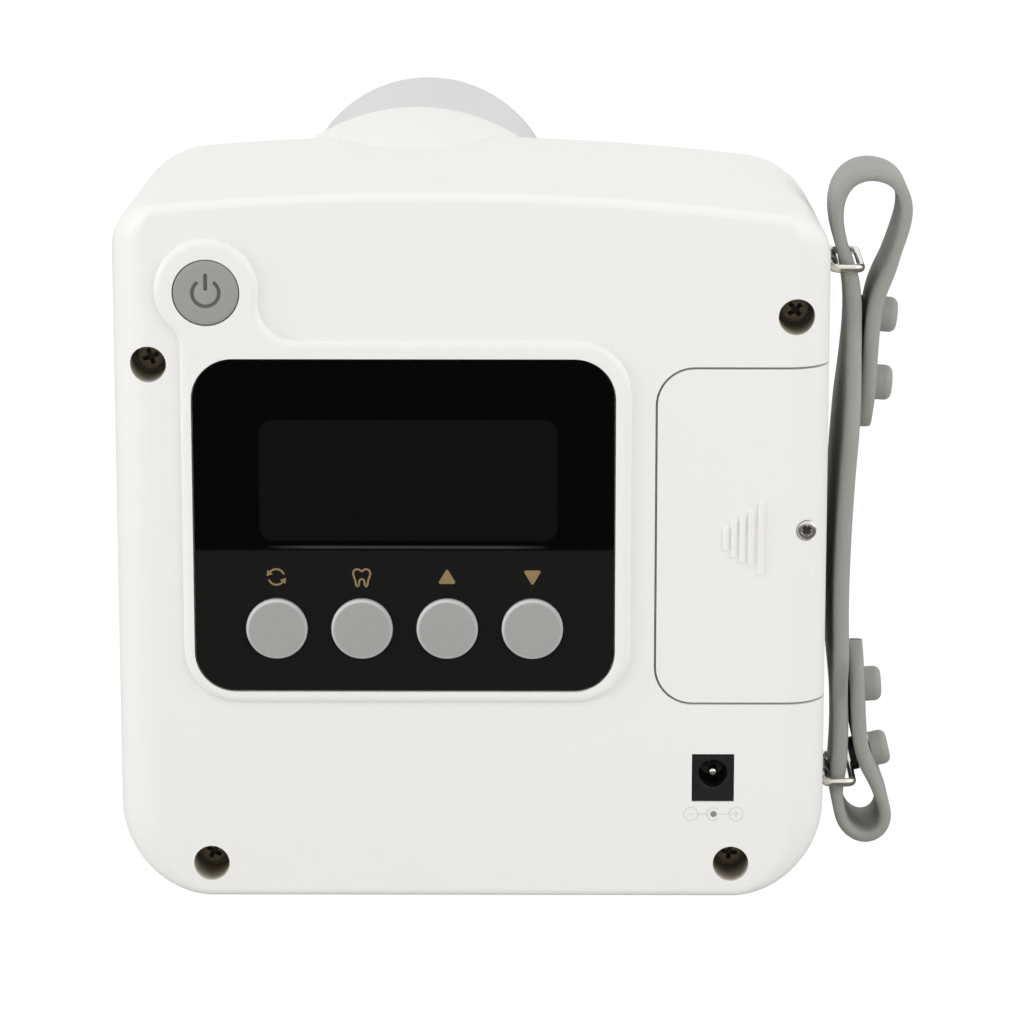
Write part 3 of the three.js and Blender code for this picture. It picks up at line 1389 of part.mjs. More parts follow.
function handStrap() {
  const length = strapCurve.getLength();
  const rings = [];
  for (let k = 0; k <= strapStations; k++) {
    const share = k / strapStations;
    const point = strapCurve.getPointAt(share);
    const tangent = strapCurve.getTangentAt(share);
    const normal = new THREE.Vector3(tangent.z, 0, -tangent.x);
    const halfWidth = strapHalfWidth(point, share * length, length);
    const half = strapHalfThickness(point.z);
    const edge = strapEdgeRadius;
    const section = [
      [half, halfWidth - edge], [half - edge, halfWidth], [edge - half, halfWidth], [-half, halfWidth - edge],
      [-half, edge - halfWidth], [edge - half, -halfWidth], [half - edge, -halfWidth], [half, edge - halfWidth]
    ];
    rings.push(section.map(([n, w]) => new THREE.Vector3(
      point.x + normal.x * n, ringY + w, point.z + normal.z * n
    )));
  }
  return cut(stack(rings), ...studs.map((stud) => studSolid(stud, gap, studHoleRunout)));
}

// Place and outward direction of a stud on the run that returns outside the main one
function studPlace({ z, run }) {
  let best = null;
  for (let k = 0; k <= 1000; k++) {
    const share = k / 1000;
    if (run === 'upper' ? share > mainRunShares[0] : share < mainRunShares[1]) continue;
    const point = strapCurve.getPointAt(share);
    const outside = point.x > ringOuterX;
    const miss = Math.abs(point.z - z);
    if (outside && (!best || miss < best.miss)) best = { share, point, miss };
  }
  const tangent = strapCurve.getTangentAt(best.share);
  const normal = new THREE.Vector3(tangent.z, 0, -tangent.x);
  if (normal.x < 0) normal.negate();
  return { point: best.point, normal };
}

// A stud: a round head outside the strap and a stem through both runs; grown by a margin it cuts its own hole
function studSolid(stud, margin = 0, past = 0) {
  const { point, normal } = studPlace(stud);
  const seat = strapThickness / 2 + studSeatGap;
  const radius = studStemRadius + margin;
  const stem = [[0, -stud.reach - past + strapThickness / 2], [radius, -stud.reach - past + strapThickness / 2]];
  const bend = studEdgeRadius * (1 - Math.SQRT1_2);
  const top = seat + studHeadHeight;
  const profile = margin > 0
    ? [...stem, [radius, top], [0, top]]
    : [
      ...stem, [radius, seat], [studHeadRadius, seat], [studHeadRadius, top - studEdgeRadius],
      [studHeadRadius - bend, top - bend], [studHeadRadius - studEdgeRadius, top], [0, top]
    ];
  const geometry = new THREE.LatheGeometry(profile.map(([r, y]) => new THREE.Vector2(r, y)), 16);
  geometry.applyQuaternion(new THREE.Quaternion().setFromUnitVectors(new THREE.Vector3(0, 1, 0), normal));
  geometry.translate(point.x, ringY, point.z);
  return toSolid(geometry);
}

// Assembly
const unit = new THREE.Group();
unit.position.set(0, -bodyDepth / 2, 0);

function add(name, solid, material) {
  const mesh = new THREE.Mesh(toGeometry(solid), material);
  mesh.name = name;
  unit.add(mesh);
}

add('rear_housing', rearHousing(), white());
add('front_housing', frontHousing(), white());
add('display_lens', displayLens(), lensBlack());
add('display_module', displayModule(), black());
add('display_board', boardWithHoles(
  lensX, displayBoardZ, displayBoardWidth, displayBoardHeight, displayBoardY, displayBoardPosts
), board());
for (let i = 0; i < buttonCount; i++) {
  add(`function_button_${i + 1}`, functionButton(i), buttonGrey());
  add(`button_switch_${i + 1}`, buttonSwitch(i), black());
}
add('power_button', powerButton(), powerGrey());
add('power_switch', powerSwitch(), black());
add('power_board', boardWithHoles(
  powerX, powerZ, powerBoardWidth, powerBoardHeight, displayBoardY, powerBoardPosts
), board());
screwPlaces.forEach((place, i) => add(`housing_screw_${i + 1}`, housingScrew(place), steel()));
add('battery_door', batteryDoor(), white());
add('battery_door_screw', doorScrew(), bright());
add('battery_pack', batteryPack(), blue());
add('battery_tray', batteryTray(), black());
[-1, 1].forEach((s, i) => add(`battery_contact_${i + 1}`, batteryContact(s), brass()));
add('power_inlet', inlet(), black());
add('power_inlet_pin', inletPin(), bright());
const inletBoard = boardWithHoles(inletX, inletZ, inletBoardWidth, inletBoardHeight, inletBoardY, inletPosts);
add('inlet_board', inletBoard, board());
add('beam_cone', beamCone(), coneGrey());
add('cone_liner', coneLiner(), lead());
add('cone_end_ring', coneEndRing(), coneGrey());
add('cone_retaining_ring', retainingRing(), coneGrey());
add('collimator_plate', collimator(), lead());
add('beam_filter', beamFilter(), aluminium());
add('generator_case', generatorCase(), aluminium());
add('generator_cover', generatorCover(), aluminium());
columnPlaces.forEach((place, i) => add(`generator_screw_${i + 1}`, generatorScrew(place), steel()));
add('x_ray_tube', xrayTube(), glass());
add('tube_anode', tubeAnode(), copper());
add('tube_cathode', tubeCathode(), steel());
add('high_voltage_transformer', transformer(), winding());
add('main_board', boardWithHoles(
  mainBoardX, mainBoardZ, mainBoardWidth, mainBoardHeight, mainBoardY, mainBoardPosts
), board());
add('inverter_coil', inverterCoil(), winding());
add('capacitor', capacitor(), black());
add('buzzer', buzzer(), black());
add('exposure_button', exposureButton(), buttonGrey());
add('exposure_switch', exposureSwitch(), black());
add('exposure_board', boardWithHoles(
  exposureX, exposureZ, exposureBoardWidth, exposureBoardHeight, exposureBoardY, exposurePosts
), board());
[['upper', ringUpperZ], ['lower', ringLowerZ]].forEach(([name, z]) => {
  add(`strap_ring_${name}`, strapRing(z), bright());
  add(`ring_clip_${name}`, ringClip(z), steel());
});
add('hand_strap', handStrap(), strapGrey());
studs.forEach((stud, i) => add(`strap_stud_${i + 1}`, studSolid(stud), strapGrey()));

export default unit;
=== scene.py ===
"""Hand-held dental x-ray unit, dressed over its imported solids.

Lengths are in millimetres. y runs forward from the display face and z up from a line 1 mm above the base;
at() turns them into the frame's metres.
"""

import math

import bpy
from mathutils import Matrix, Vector


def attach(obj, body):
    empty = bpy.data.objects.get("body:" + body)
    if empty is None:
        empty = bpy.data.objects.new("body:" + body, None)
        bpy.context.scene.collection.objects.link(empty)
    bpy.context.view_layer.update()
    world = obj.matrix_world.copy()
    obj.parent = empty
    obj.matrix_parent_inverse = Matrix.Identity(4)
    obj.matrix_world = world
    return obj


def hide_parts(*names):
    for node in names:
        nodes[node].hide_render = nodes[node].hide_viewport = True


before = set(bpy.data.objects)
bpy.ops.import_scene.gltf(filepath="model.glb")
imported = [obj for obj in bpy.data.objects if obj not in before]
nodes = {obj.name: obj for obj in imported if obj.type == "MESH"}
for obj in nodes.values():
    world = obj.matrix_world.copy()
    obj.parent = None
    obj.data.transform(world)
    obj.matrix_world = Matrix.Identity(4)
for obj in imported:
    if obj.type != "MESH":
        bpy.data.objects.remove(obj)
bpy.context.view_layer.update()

ROOT = "unit"

# The body, which is both housings together
BODY_DEPTH = 89.0
BASE_DROP = 1.0
HALF_WIDTH = 77.8
LOW_RADIUS = 20.0
TOP_RADIUS = 10.5
TOP_RADIUS_GROWTH = 9
CROWN_X, CROWN_TOP, CROWN_RADIUS = -10.0, 157.1, 620.0
CROWN_Z = CROWN_TOP - CROWN_RADIUS
CORNER_STEPS, CROWN_STEPS = 22, 36
FRONT_EDGE = 15
WALL = 2.6

# The rear housing ends at SPLIT_Y, and its thinner tongue at TONGUE_Y
SPLIT_Y, TONGUE_Y, TONGUE_INSET = 12, 14, 1.3

# Cutters start before the display face and end beyond the rear housing
NEAR, BEFORE, BEYOND = -3, -5, 20

# Places in x and z
SCREWS = ((-69.8, 119.55), (70.2, 130.1), (-57.6, 6.85), (57.2, 6.85))
BUTTON_X = (-42.5, -23.9, -5.3, 13.3)
BUTTON_Z = 60.9
BUTTON_HOLE = 7.0
POWER = (-57.0, 135.6)
LENS_MIDDLE = (-14.6, 83.85)
INLET = (53.1, 26.5)
JACK = (53.1, 27.6)
POLARITY_SIGN = (53.3, 18.35)
NOSE = (-13.6, 118.0)
EXPOSURE = (54, 118)
DOOR_SCREW = (73, 82.6)
RING_Z = {"upper": 135.3, "lower": 16.9}

# Tolerances in metres
SEAM_MERGE = 0.000001
CUT_MERGE = 0.000002


def at(x, y, z):
    """A point of the unit in the frame's metres."""
    return Vector((x, y - BODY_DEPTH / 2, z + BASE_DROP)) * 0.001


# Working on one piece at a time


def only(piece):
    """Deselects everything and makes the piece the active one."""
    bpy.ops.object.select_all(action="DESELECT")
    piece.select_set(True)
    bpy.context.view_layer.objects.active = piece


def work_on(piece):
    """Opens the piece in edit mode with everything deselected."""
    only(piece)
    bpy.ops.object.mode_set(mode="EDIT")
    bpy.ops.mesh.select_mode(type="VERT")
    bpy.ops.mesh.select_all(action="DESELECT")


def put_down():
    bpy.ops.object.mode_set(mode="OBJECT")


def turn_outward():
    """Turns the normals of the piece in hand outward."""
    bpy.ops.mesh.select_all(action="SELECT")
    bpy.ops.mesh.normals_make_consistent(inside=False)


def laid_grid(name, rows, closed_round, closed_along=False, filled=True):
    """A grid laid on rows of points. Its seams are merged and its open ends filled."""
    laid = [list(row) + ([row[0]] if closed_round else []) for row in rows]
    if closed_along:
        laid.append(laid[0])
    bpy.ops.object.select_all(action="DESELECT")
    bpy.ops.mesh.primitive_grid_add(x_subdivisions=len(laid[0]) - 1, y_subdivisions=len(laid) - 1, size=1)
    piece = bpy.context.object
    piece.name = name
    for vertex, point in zip(piece.data.vertices, [p for row in laid for p in row]):
        vertex.co = point
    work_on(piece)
    bpy.ops.mesh.select_all(action="SELECT")
    bpy.ops.mesh.remove_doubles(threshold=SEAM_MERGE)
    if filled:
        bpy.ops.mesh.fill_holes(sides=0)
    turn_outward()
    put_down()
    return piece


def quarter(steps, first=0):
    """Angles over a quarter turn, from the first step to the last."""
    return [math.pi / 2 * k / steps for k in range(first, steps + 1)]


def full_turn(sides):
    return [math.tau * i / sides for i in range(sides)]


def turned(name, profile, x, z, sides=64, ring=False):
    """A form turned about a line along y. Its profile is a list of (radius, y), which closes in a ring."""
    rows = []
    for radius, y in profile:
        rows.append([at(x + radius * math.cos(a), y, z + radius * math.sin(a)) for a in full_turn(sides)])
    return laid_grid(name, rows, True, closed_along=ring, filled=not ring)


def rod(name, radius, y0, y1, x, z, sides=48):
    return turned(name, [(0, y0), (radius, y0), (radius, y1), (0, y1)], x, z, sides)


def box(name, x0, x1, y0, y1, z0, z1):
    """A box between two corners."""
    middle = (at(x0, y0, z0) + at(x1, y1, z1)) / 2
    bpy.ops.object.select_all(action="DESELECT")
    bpy.ops.mesh.primitive_cube_add(size=1, location=middle)
    piece = bpy.context.object
    piece.name = name
    piece.scale = at(x1, y1, z1) - at(x0, y0, z0)
    bpy.ops.object.transform_apply(location=True, rotation=True, scale=True)
    return piece


def slab(name, outline, y0, y1):
    """A flat outline in x and z, given thickness along y."""
    return laid_grid(name, [[at(x, y, z) for x, z in outline] for y in (y0, y1)], True)


def combine(piece, tool, operation):
    """Joins a tool to the piece, or cuts the piece with it. A tool's own material stays on its faces."""
    only(piece)
    step = piece.modifiers.new("combine", "BOOLEAN")
    step.operation = operation
    step.solver = "EXACT"
    step.material_mode = "TRANSFER" if tool.data.materials else "INDEX"
    step.object = tool
    bpy.ops.object.modifier_apply(modifier=step.name)
    bpy.data.objects.remove(tool)


def weld(piece, *tools):
    for tool in tools:
        combine(piece, tool, "UNION")


def cut(piece, *tools):
    for tool in tools:
        combine(piece, tool, "DIFFERENCE")


def smooth_by_angle(piece, angle):
    only(piece)
    bpy.ops.object.shade_smooth_by_angle(angle=math.radians(angle))


def round_edges(piece, width, segments=3, angle=40):
    """Merges the near-doubled points that cuts leave, rounds the sharp edges and shades the rest smooth."""
    work_on(piece)
    bpy.ops.mesh.select_all(action="SELECT")
    bpy.ops.mesh.remove_doubles(threshold=CUT_MERGE)
    bpy.ops.mesh.dissolve_degenerate(threshold=CUT_MERGE)
    put_down()
    if width:
        step = piece.modifiers.new("edges", "BEVEL")
        step.width = width * 0.001
        step.segments = segments
        step.limit_method = "ANGLE"
        step.angle_limit = math.radians(angle)
        step.use_clamp_overlap = True
        step.miter_outer = "MITER_ARC"
        bpy.ops.object.modifier_apply(modifier=step.name)
    smooth_by_angle(piece, angle)
    step = piece.modifiers.new("even", "WEIGHTED_NORMAL")
    step.keep_sharp = True
    step.weight = 60
    bpy.ops.object.modifier_apply(modifier=step.name)


# Outlines in x and z


def arc(x, z, radius, start, end, steps):
    """Points of an arc from one angle to another, in degrees."""
    points = []
    for i in range(steps + 1):
        angle = math.radians(start + (end - start) * i / steps)
        points.append((x + radius * math.cos(angle), z + radius * math.sin(angle)))
    return points


def circle(x, z, radius, steps=40):
    return arc(x, z, radius, 0, 360 - 360 / steps, steps - 1)


def rounded_rectangle(x, z, width, height, radius, steps=14):
    right, left = x + width / 2 - radius, x - width / 2 + radius
    top, low = z + height / 2 - radius, z - height / 2 + radius
    points = arc(right, low, radius, -90, 0, steps) + arc(right, top, radius, 0, 90, steps)
    return points + arc(left, top, radius, 90, 180, steps) + arc(left, low, radius, 180, 270, steps)


def body_outline(top_radius):
    """The body's outline with its outward directions: flat base, round corners, crowned top."""
    points = []

    def sweep(x, z, radius, start, end, steps, inner=False):
        """Adds an arc, or only the points between its ends."""
        for i in range(1 if inner else 0, steps if inner else steps + 1):
            angle = start + (end - start) * i / steps
            nx, nz = math.cos(angle), math.sin(angle)
            points.append((x + radius * nx, z + radius * nz, nx, nz))

    def corner_z(x):
        return CROWN_Z + math.sqrt((CROWN_RADIUS - top_radius) ** 2 - (x - CROWN_X) ** 2)

    corner_x = HALF_WIDTH - top_radius
    low_x, low_z = HALF_WIDTH - LOW_RADIUS, LOW_RADIUS - BASE_DROP
    right = math.atan2(corner_z(corner_x) - CROWN_Z, corner_x - CROWN_X)
    left = math.atan2(corner_z(-corner_x) - CROWN_Z, -corner_x - CROWN_X)
    sweep(low_x, low_z, LOW_RADIUS, -math.pi / 2, 0, CORNER_STEPS)
    sweep(corner_x, corner_z(corner_x), top_radius, 0, right, CORNER_STEPS)
    sweep(CROWN_X, CROWN_Z, CROWN_RADIUS, right, left, CROWN_STEPS, inner=True)
    sweep(-corner_x, corner_z(-corner_x), top_radius, left, math.pi, CORNER_STEPS)
    sweep(-low_x, low_z, LOW_RADIUS, math.pi, math.pi * 1.5, CORNER_STEPS)
    return points


def body_row(y, inset):
    """The body's outline at y, set in from the surface. Its top corners grow rounder towards the front."""
    along = min(max((y - SPLIT_Y) / (BODY_DEPTH - SPLIT_Y), 0), 1)
    outline = body_outline(TOP_RADIUS + TOP_RADIUS_GROWTH * along)
    return [at(x - nx * inset, y, z - nz * inset) for x, z, nx, nz in outline]


def rear_rows(inset, steps=10):
    """Rows over the rear edge, whose rounding grows from the top edge round to the sides."""
    top_edge, growth, power, least = 2, 7, 1.5, 0.6
    rows = []
    for angle in quarter(steps):
        row = []
        for x, z, nx, nz in body_outline(TOP_RADIUS):
            radius = max(top_edge + growth * abs(nx) ** power - inset, least)
            inward = inset + radius * (1 - math.sin(angle))
            row.append(at(x - nx * inward, inset + radius * (1 - math.cos(angle)), z - nz * inward))
        rows.append(row)
    return rows


def front_rows(inset):
    """Rows over the front edge."""
    radius = FRONT_EDGE - inset
    rows = []
    for angle in reversed(quarter(12)):
        y = BODY_DEPTH - inset - radius * (1 - math.cos(angle))
        rows.append(body_row(y, inset + radius * (1 - math.sin(angle))))
    return rows


def rear_form(name, inset, end):
    """The body's rear end, set in from the surface, as one solid form."""
    return laid_grid(name, rear_rows(inset) + [body_row(end, inset)], True)


def front_form(name, inset, start):
    return laid_grid(name, [body_row(start, inset)] + front_rows(inset), True)


def frame_outline(inset):
    """The raised frame round the lens, which flows into a lobe round the power button."""
    left, right, low, top, corner = -62.85, 34.75, 44.1, 125.1, 12.0
    lobe_x, lobe_z, lobe = -57.0, 136.1, 11.25
    fillet_left, fillet_right = 5.5, 8.2
    right_z = top + fillet_right
    right_x = lobe_x + math.sqrt((lobe + fillet_right) ** 2 - (right_z - lobe_z) ** 2)
    right_turn = math.degrees(math.atan2(lobe_z - right_z, lobe_x - right_x)) % 360
    left_x = left - fillet_left
    left_z = lobe_z - math.sqrt((lobe + fillet_left) ** 2 - (left_x - lobe_x) ** 2)
    left_turn = math.degrees(math.atan2(lobe_z - left_z, lobe_x - left_x))
    points = arc(right - corner, low + corner, corner - inset, -90, 0, 12)
    points += arc(right - corner, top - corner, corner - inset, 0, 90, 12)
    points += arc(right_x, right_z, fillet_right + inset, 270, right_turn, 10)
    points += arc(lobe_x, lobe_z, lobe - inset, right_turn - 180, left_turn + 180, 30)
    points += arc(left_x, left_z, fillet_left + inset, left_turn, 0, 8)
    points += arc(left + corner, low + corner, corner - inset, 180, 270, 12)
    return points


def door_outline(margin):
    """The battery door's outline, which runs out past the right side."""
    left, low, top, radius = 40.4 - margin, 43.9 - margin, 118.6 + margin, 8 + margin
    past_side = 82
    points = [(past_side, low), (past_side, top)]
    points += arc(left + radius, top - radius, radius, 90, 180, 12)
    return points + arc(left + radius, low + radius, radius, 180, 270, 12)


def smooth_loop(points, steps):
    """A smooth closed line through points."""
    result = []
    count = len(points)
    for i in range(count):
        p0, p1, p2, p3 = (Vector(points[(i + k - 1) % count]) for k in range(4))
        square, cube = 2 * p0 - 5 * p1 + 4 * p2 - p3, 3 * p1 - p0 - 3 * p2 + p3
        for k in range(steps):
            t = k / steps
            q = 0.5 * (2 * p1 + (p2 - p0) * t + square * t * t + cube * t ** 3)
            result.append((q.x, q.y))
    return result


# Materials


class Nodes:
    """Short ways to add nodes to a node tree and to feed their inputs."""

    def __init__(self, tree):
        self.tree = tree

    def feed(self, node, inputs):
        """Gives each input a value, a colour or another node's output."""
        for name, value in inputs.items():
            socket = node.inputs[name]
            if isinstance(value, bpy.types.NodeSocket):
                self.tree.links.new(value, socket)
            elif socket.type == "RGBA":
                socket.default_value = (*value, 1)
            else:
                socket.default_value = value

    def add(self, kind, inputs, **settings):
        node = self.tree.nodes.new("ShaderNode" + kind)
        for name, value in settings.items():
            setattr(node, name, value)
        self.feed(node, inputs)
        return node

    def place(self):
        """The piece's own coordinates."""
        return self.add("TexCoord", {}).outputs["Object"]

    def axes(self, place):
        return self.add("SeparateXYZ", {"Vector": place}).outputs

    def noise(self, place, scale, detail=2):
        return self.add("TexNoise", {"Vector": place, "Scale": scale, "Detail": detail}).outputs["Fac"]

    def reckon(self, operation, *values):
        return self.add("Math", dict(enumerate(values)), operation=operation).outputs[0]

    def span(self, value, start, end, low=0, high=1):
        """Stretches the span from start to end over the span from low to high."""
        inputs = {"Value": value, "From Min": start, "From Max": end, "To Min": low, "To Max": high}
        return self.add("MapRange", inputs).outputs["Result"]

    def over(self, base, colour, mask):
        """Lays a colour over a base by a mask."""
        return self.add("Mix", {"A": base, "B": colour, "Factor": mask}, data_type="RGBA").outputs["Result"]

    def relief(self, height, strength, distance=0.0002):
        inputs = {"Height": height, "Strength": strength, "Distance": distance}
        return self.add("Bump", inputs).outputs["Normal"]


def tone(red, green, blue):
    """An sRGB colour, 0 to 255, as the linear values that the shaders take."""
    def linear(value):
        value /= 255
        return value / 12.92 if value <= 0.04045 else ((value + 0.055) / 1.055) ** 2.4
    return linear(red), linear(green), linear(blue)


def surface_group():
    """Slow cloudiness and fine grain over a surface, both from the piece's own coordinates."""
    group = bpy.data.node_groups.new("moulded surface", "ShaderNodeTree")
    for name in ("Cloud size", "Grain size", "Spread"):
        group.interface.new_socket(name, in_out="INPUT", socket_type="NodeSocketFloat")
    for name in ("Shade", "Grain"):
        group.interface.new_socket(name, in_out="OUTPUT", socket_type="NodeSocketFloat")
    given = group.nodes.new("NodeGroupInput").outputs
    result = group.nodes.new("NodeGroupOutput")
    net = Nodes(group)
    place = net.place()
    cloud = net.reckon("SUBTRACT", net.noise(place, given["Cloud size"], 3), 0.5)
    shade = net.reckon("MULTIPLY_ADD", cloud, given["Spread"], 1)
    net.feed(result, {"Shade": shade, "Grain": net.noise(place, given["Grain size"])})
    return group


MOULDED = surface_group()
GLOSS_SPREAD = 0.1


def new_material(name):
    """A material with its nodes and its shader."""
    material = bpy.data.materials.new(name)
    material.use_nodes = True
    return material, Nodes(material.node_tree), material.node_tree.nodes["Principled BSDF"]


def finish(
    name, colour, roughness, cloud=30, spread=0.04, grain=2500, bump=0.05, metallic=0, specular=0.5, coat=0
):
    """A plain moulded, painted or metal finish with slow variation in tone and gloss, and a fine grain."""
    material, net, shader = new_material(name)
    given = {"Cloud size": cloud, "Grain size": grain, "Spread": spread}
    surface = net.add("Group", given, node_tree=MOULDED).outputs
    tint = {"Factor": 1, "A": tone(*colour), "B": surface["Shade"]}
    low, high = roughness * (1 - GLOSS_SPREAD), roughness * (1 + GLOSS_SPREAD)
    net.feed(shader, {
        "Base Color": net.add("Mix", tint, data_type="RGBA", blend_type="MULTIPLY").outputs["Result"],
        "Roughness": net.span(surface["Grain"], 0, 1, low, high),
        "Normal": net.relief(surface["Grain"], bump),
        "Metallic": metallic,
        "Specular IOR Level": specular,
        "Coat Weight": coat,
        "Coat Roughness": 0.08,
    })
    return material


RUBBER = {"roughness": 0.62, "cloud": 90, "spread": 0.03, "grain": 3200, "bump": 0.12, "specular": 0.3}
PRINT = {"roughness": 0.5, "cloud": 120, "spread": 0.05, "grain": 3000, "bump": 0.03}

WHITE_SHELL = finish("white shell", (238, 237, 233), 0.42, cloud=18, spread=0.012, grain=1800, bump=0.03)
CONE_SHELL = finish("cone plastic", (210, 210, 210), 0.4, cloud=20, spread=0.012, bump=0.03)
BUTTON_RUBBER = finish("button rubber", (160, 160, 158), **RUBBER)
POWER_RUBBER = finish("power button rubber", (153, 154, 148), **RUBBER)
STRAP_RUBBER = finish(
    "strap rubber", (156, 156, 151), 0.55, cloud=60, spread=0.06, grain=2600, bump=0.1, specular=0.35
)
BRIGHT_METAL = finish("nickel plate", (228, 225, 214), 0.22, grain=900, bump=0.03, metallic=1)
DARK_STEEL = finish("browned steel", (138, 128, 108), 0.65, grain=1200, bump=0.08, metallic=0.2, specular=0.2)
STEEL = finish("plain steel", (160, 158, 152), 0.38, grain=1200, bump=0.06, metallic=1)
ALUMINIUM = finish("aluminium sheet", (196, 198, 200), 0.4, grain=900, bump=0.08, metallic=1)
SHIELD = finish("shield metal", (112, 115, 120), 0.5, grain=700, bump=0.1, metallic=1)
LINER = finish("bore lining", (206, 206, 206), 0.5, cloud=25, spread=0.03, bump=0.04)
COPPER = finish("copper", (190, 118, 78), 0.35, grain=900, metallic=1)
BRASS = finish("contact brass", (206, 168, 86), 0.3, grain=900, bump=0.04, metallic=1)
BLACK_PLASTIC = finish("black plastic", (26, 26, 28), 0.5, cloud=60, spread=0.15, grain=2200, bump=0.12)
INLET_BLACK = finish("inlet plastic", (24, 24, 23), 0.35, cloud=80, spread=0.15, grain=2600, bump=0.06)
BATTERY_WRAP = finish(
    "battery wrap", (44, 84, 132), 0.36, cloud=40, spread=0.08, grain=1200, bump=0.06, coat=0.3
)
WINDING = finish("coil winding", (146, 82, 44), 0.42, cloud=80, spread=0.2, grain=1400, bump=0.2)
CORE_IRON = finish(
    "laminated core", (82, 80, 78), 0.55, cloud=60, spread=0.2, grain=1600, bump=0.2, metallic=0.6
)
GOLD_PRINT = finish("gold print", (140, 118, 76), 0.5, cloud=120, spread=0.08, grain=3000, bump=0.04)
DARK_PRINT = finish("dark print", (138, 138, 136), **PRINT)
GREY_PRINT = finish("grey print", (217, 217, 213), **PRINT)
# Painted shade for the grooves of the power sign
PAINTED_GROOVE_SHADE = finish(
    "groove painted shade", (108, 110, 104), 0.7, cloud=90, spread=0.03, grain=3200, bump=0.1, specular=0.2
)
# Painted shade for the screws' cross recesses
PAINTED_RECESS_SHADE = finish("recess painted shade", (72, 66, 56), 0.6, grain=1500, bump=0.06, metallic=0.6)


def painted_bore_shade_material():
    """Screw bore: the shell's colour at the mouth, and a painted brown shade that deepens down the bore,
    where shade falls.
    """
    material, net, shader = new_material("screw bore painted shade")
    place = net.place()
    depth = net.axes(place)["Y"]
    mouth, middle, deep = -0.0446, -0.042, -0.036
    # Painted shade: the colour turns darker and browner down the bore
    colour = net.over(tone(222, 219, 211), tone(174, 167, 152), net.span(depth, mouth, middle))
    colour = net.over(colour, tone(146, 137, 118), net.span(depth, middle, deep))
    net.feed(shader, {
        "Base Color": colour,
        "Roughness": 0.75,
        "Specular IOR Level": 0.1,
        "Normal": net.relief(net.noise(place, 900), 0.08),
    })
    return material


def show_painted_highlight(material, colour):
    """Lays a painted highlight over the material by the piece's own highlight values, so that a rounded edge
    stands out.
    """
    net = Nodes(material.node_tree)
    shader = material.node_tree.nodes["Principled BSDF"]
    plain = shader.inputs["Base Color"].links[0].from_socket
    painted_highlight = net.add("Attribute", {}, attribute_name="painted_highlight").outputs["Fac"]
    net.feed(shader, {"Base Color": net.over(plain, tone(*colour), painted_highlight)})


def board_material():
    """Green solder mask with lighter copper tracks under it."""
    material, net, shader = new_material("circuit board")
    flat = net.add("Mapping", {"Vector": net.place(), "Rotation": (math.pi / 2, 0, 0)})
    tracks = net.add("TexBrick", {
        "Vector": flat.outputs["Vector"],
        "Scale": 160,
        "Mortar Size": 0.08,
        "Color1": tone(24, 84, 52),
        "Color2": tone(20, 74, 46),
        "Mortar": tone(58, 122, 76),
    }).outputs
    net.feed(shader, {
        "Base Color": tracks["Color"],
        "Roughness": 0.4,
        "Coat Weight": 0.3,
        "Normal": net.relief(tracks["Fac"], 0.2, 0.0001),
    })
    return material


def lens_material():
    """Black glossy lens: the window shows a little lighter, with a thin pale line under it, and the lens
    below is painted a lighter black as a painted reflection.
    """
    material, net, shader = new_material("black lens")
    place = net.place()
    axes = net.axes(place)
    middle_x, window_z, line_z = -0.0137, 0.0951, 0.0802

    def away(axis, centre):
        return net.reckon("ABSOLUTE", net.reckon("SUBTRACT", axes[axis], centre))

    def past(axis, centre, half):
        """The square of how far a point lies past a half size."""
        excess = net.reckon("SUBTRACT", away(axis, centre), half)
        return net.reckon("POWER", net.reckon("MAXIMUM", excess, 0), 2)

    # The window's corners are rounded off by the distance from a smaller rectangle
    corner = net.reckon("SQRT", net.reckon("ADD", past("X", middle_x, 0.0294), past("Z", window_z, 0.0105)))
    window = net.span(corner, 0.0031, 0.0028)
    line_height = net.span(away("Z", line_z), 0.00042, 0.00012)
    line_width = net.span(away("X", middle_x), 0.031, 0.022)
    # Painted reflection: below this height the lens is painted a lighter black
    painted_reflection = net.span(axes["Z"], 0.0798, 0.0792)

    colour = net.over((0.0008, 0.0008, 0.0008), tone(25, 25, 24), painted_reflection)
    colour = net.over(colour, tone(15, 15, 16), window)
    colour = net.over(colour, tone(58, 60, 64), net.reckon("MULTIPLY", line_height, line_width))
    net.feed(shader, {
        "Base Color": colour,
        "Roughness": net.span(net.noise(place, 60), 0, 1, 0.04, 0.09),
        "Specular IOR Level": 0.12,
    })
    return material


def glass_material():
    material, net, shader = new_material("tube glass")
    net.feed(shader, {
        "Base Color": tone(236, 242, 243),
        "Roughness": net.span(net.noise(net.place(), 70), 0, 1, 0.02, 0.08),
        "Transmission Weight": 1,
        "IOR": 1.47,
    })
    return material


# Painted highlight on the rounded edges of the function buttons
show_painted_highlight(BUTTON_RUBBER, (222, 222, 220))
# Painted shade for the inside of the screw bores
PAINTED_BORE_SHADE = painted_bore_shade_material()
BOARD = board_material()
LENS = lens_material()
GLASS = glass_material()


def dress(piece, material, body=ROOT, replaces=()):
    """Gives a finished piece its material, its body and the node that it stands for."""
    if not piece.data.materials:
        piece.data.materials.append(material)
    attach(piece, body)
    if replaces:
        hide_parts(*replaces)


# Camera


def make_camera():
    focal_pixels, picture_pixels, sensor = 4863, 1024, 36
    down, aside = 13.8, 0.31
    data = bpy.data.cameras.new("photo camera")
    camera = bpy.data.objects.new("photo camera", data)
    bpy.context.scene.collection.objects.link(camera)
    data.sensor_width = sensor
    data.lens = focal_pixels / picture_pixels * sensor
    data.clip_start = 0.01
    data.clip_end = 20
    camera.location = at(14.4, -1026.5, 339.05)
    camera.rotation_euler = (math.radians(90 - down), 0, math.radians(aside))
    bpy.context.scene.camera = camera


make_camera()

# Rear housing

LEDGE_FRONT, LEDGE_REACH_IN = 2.3, -3


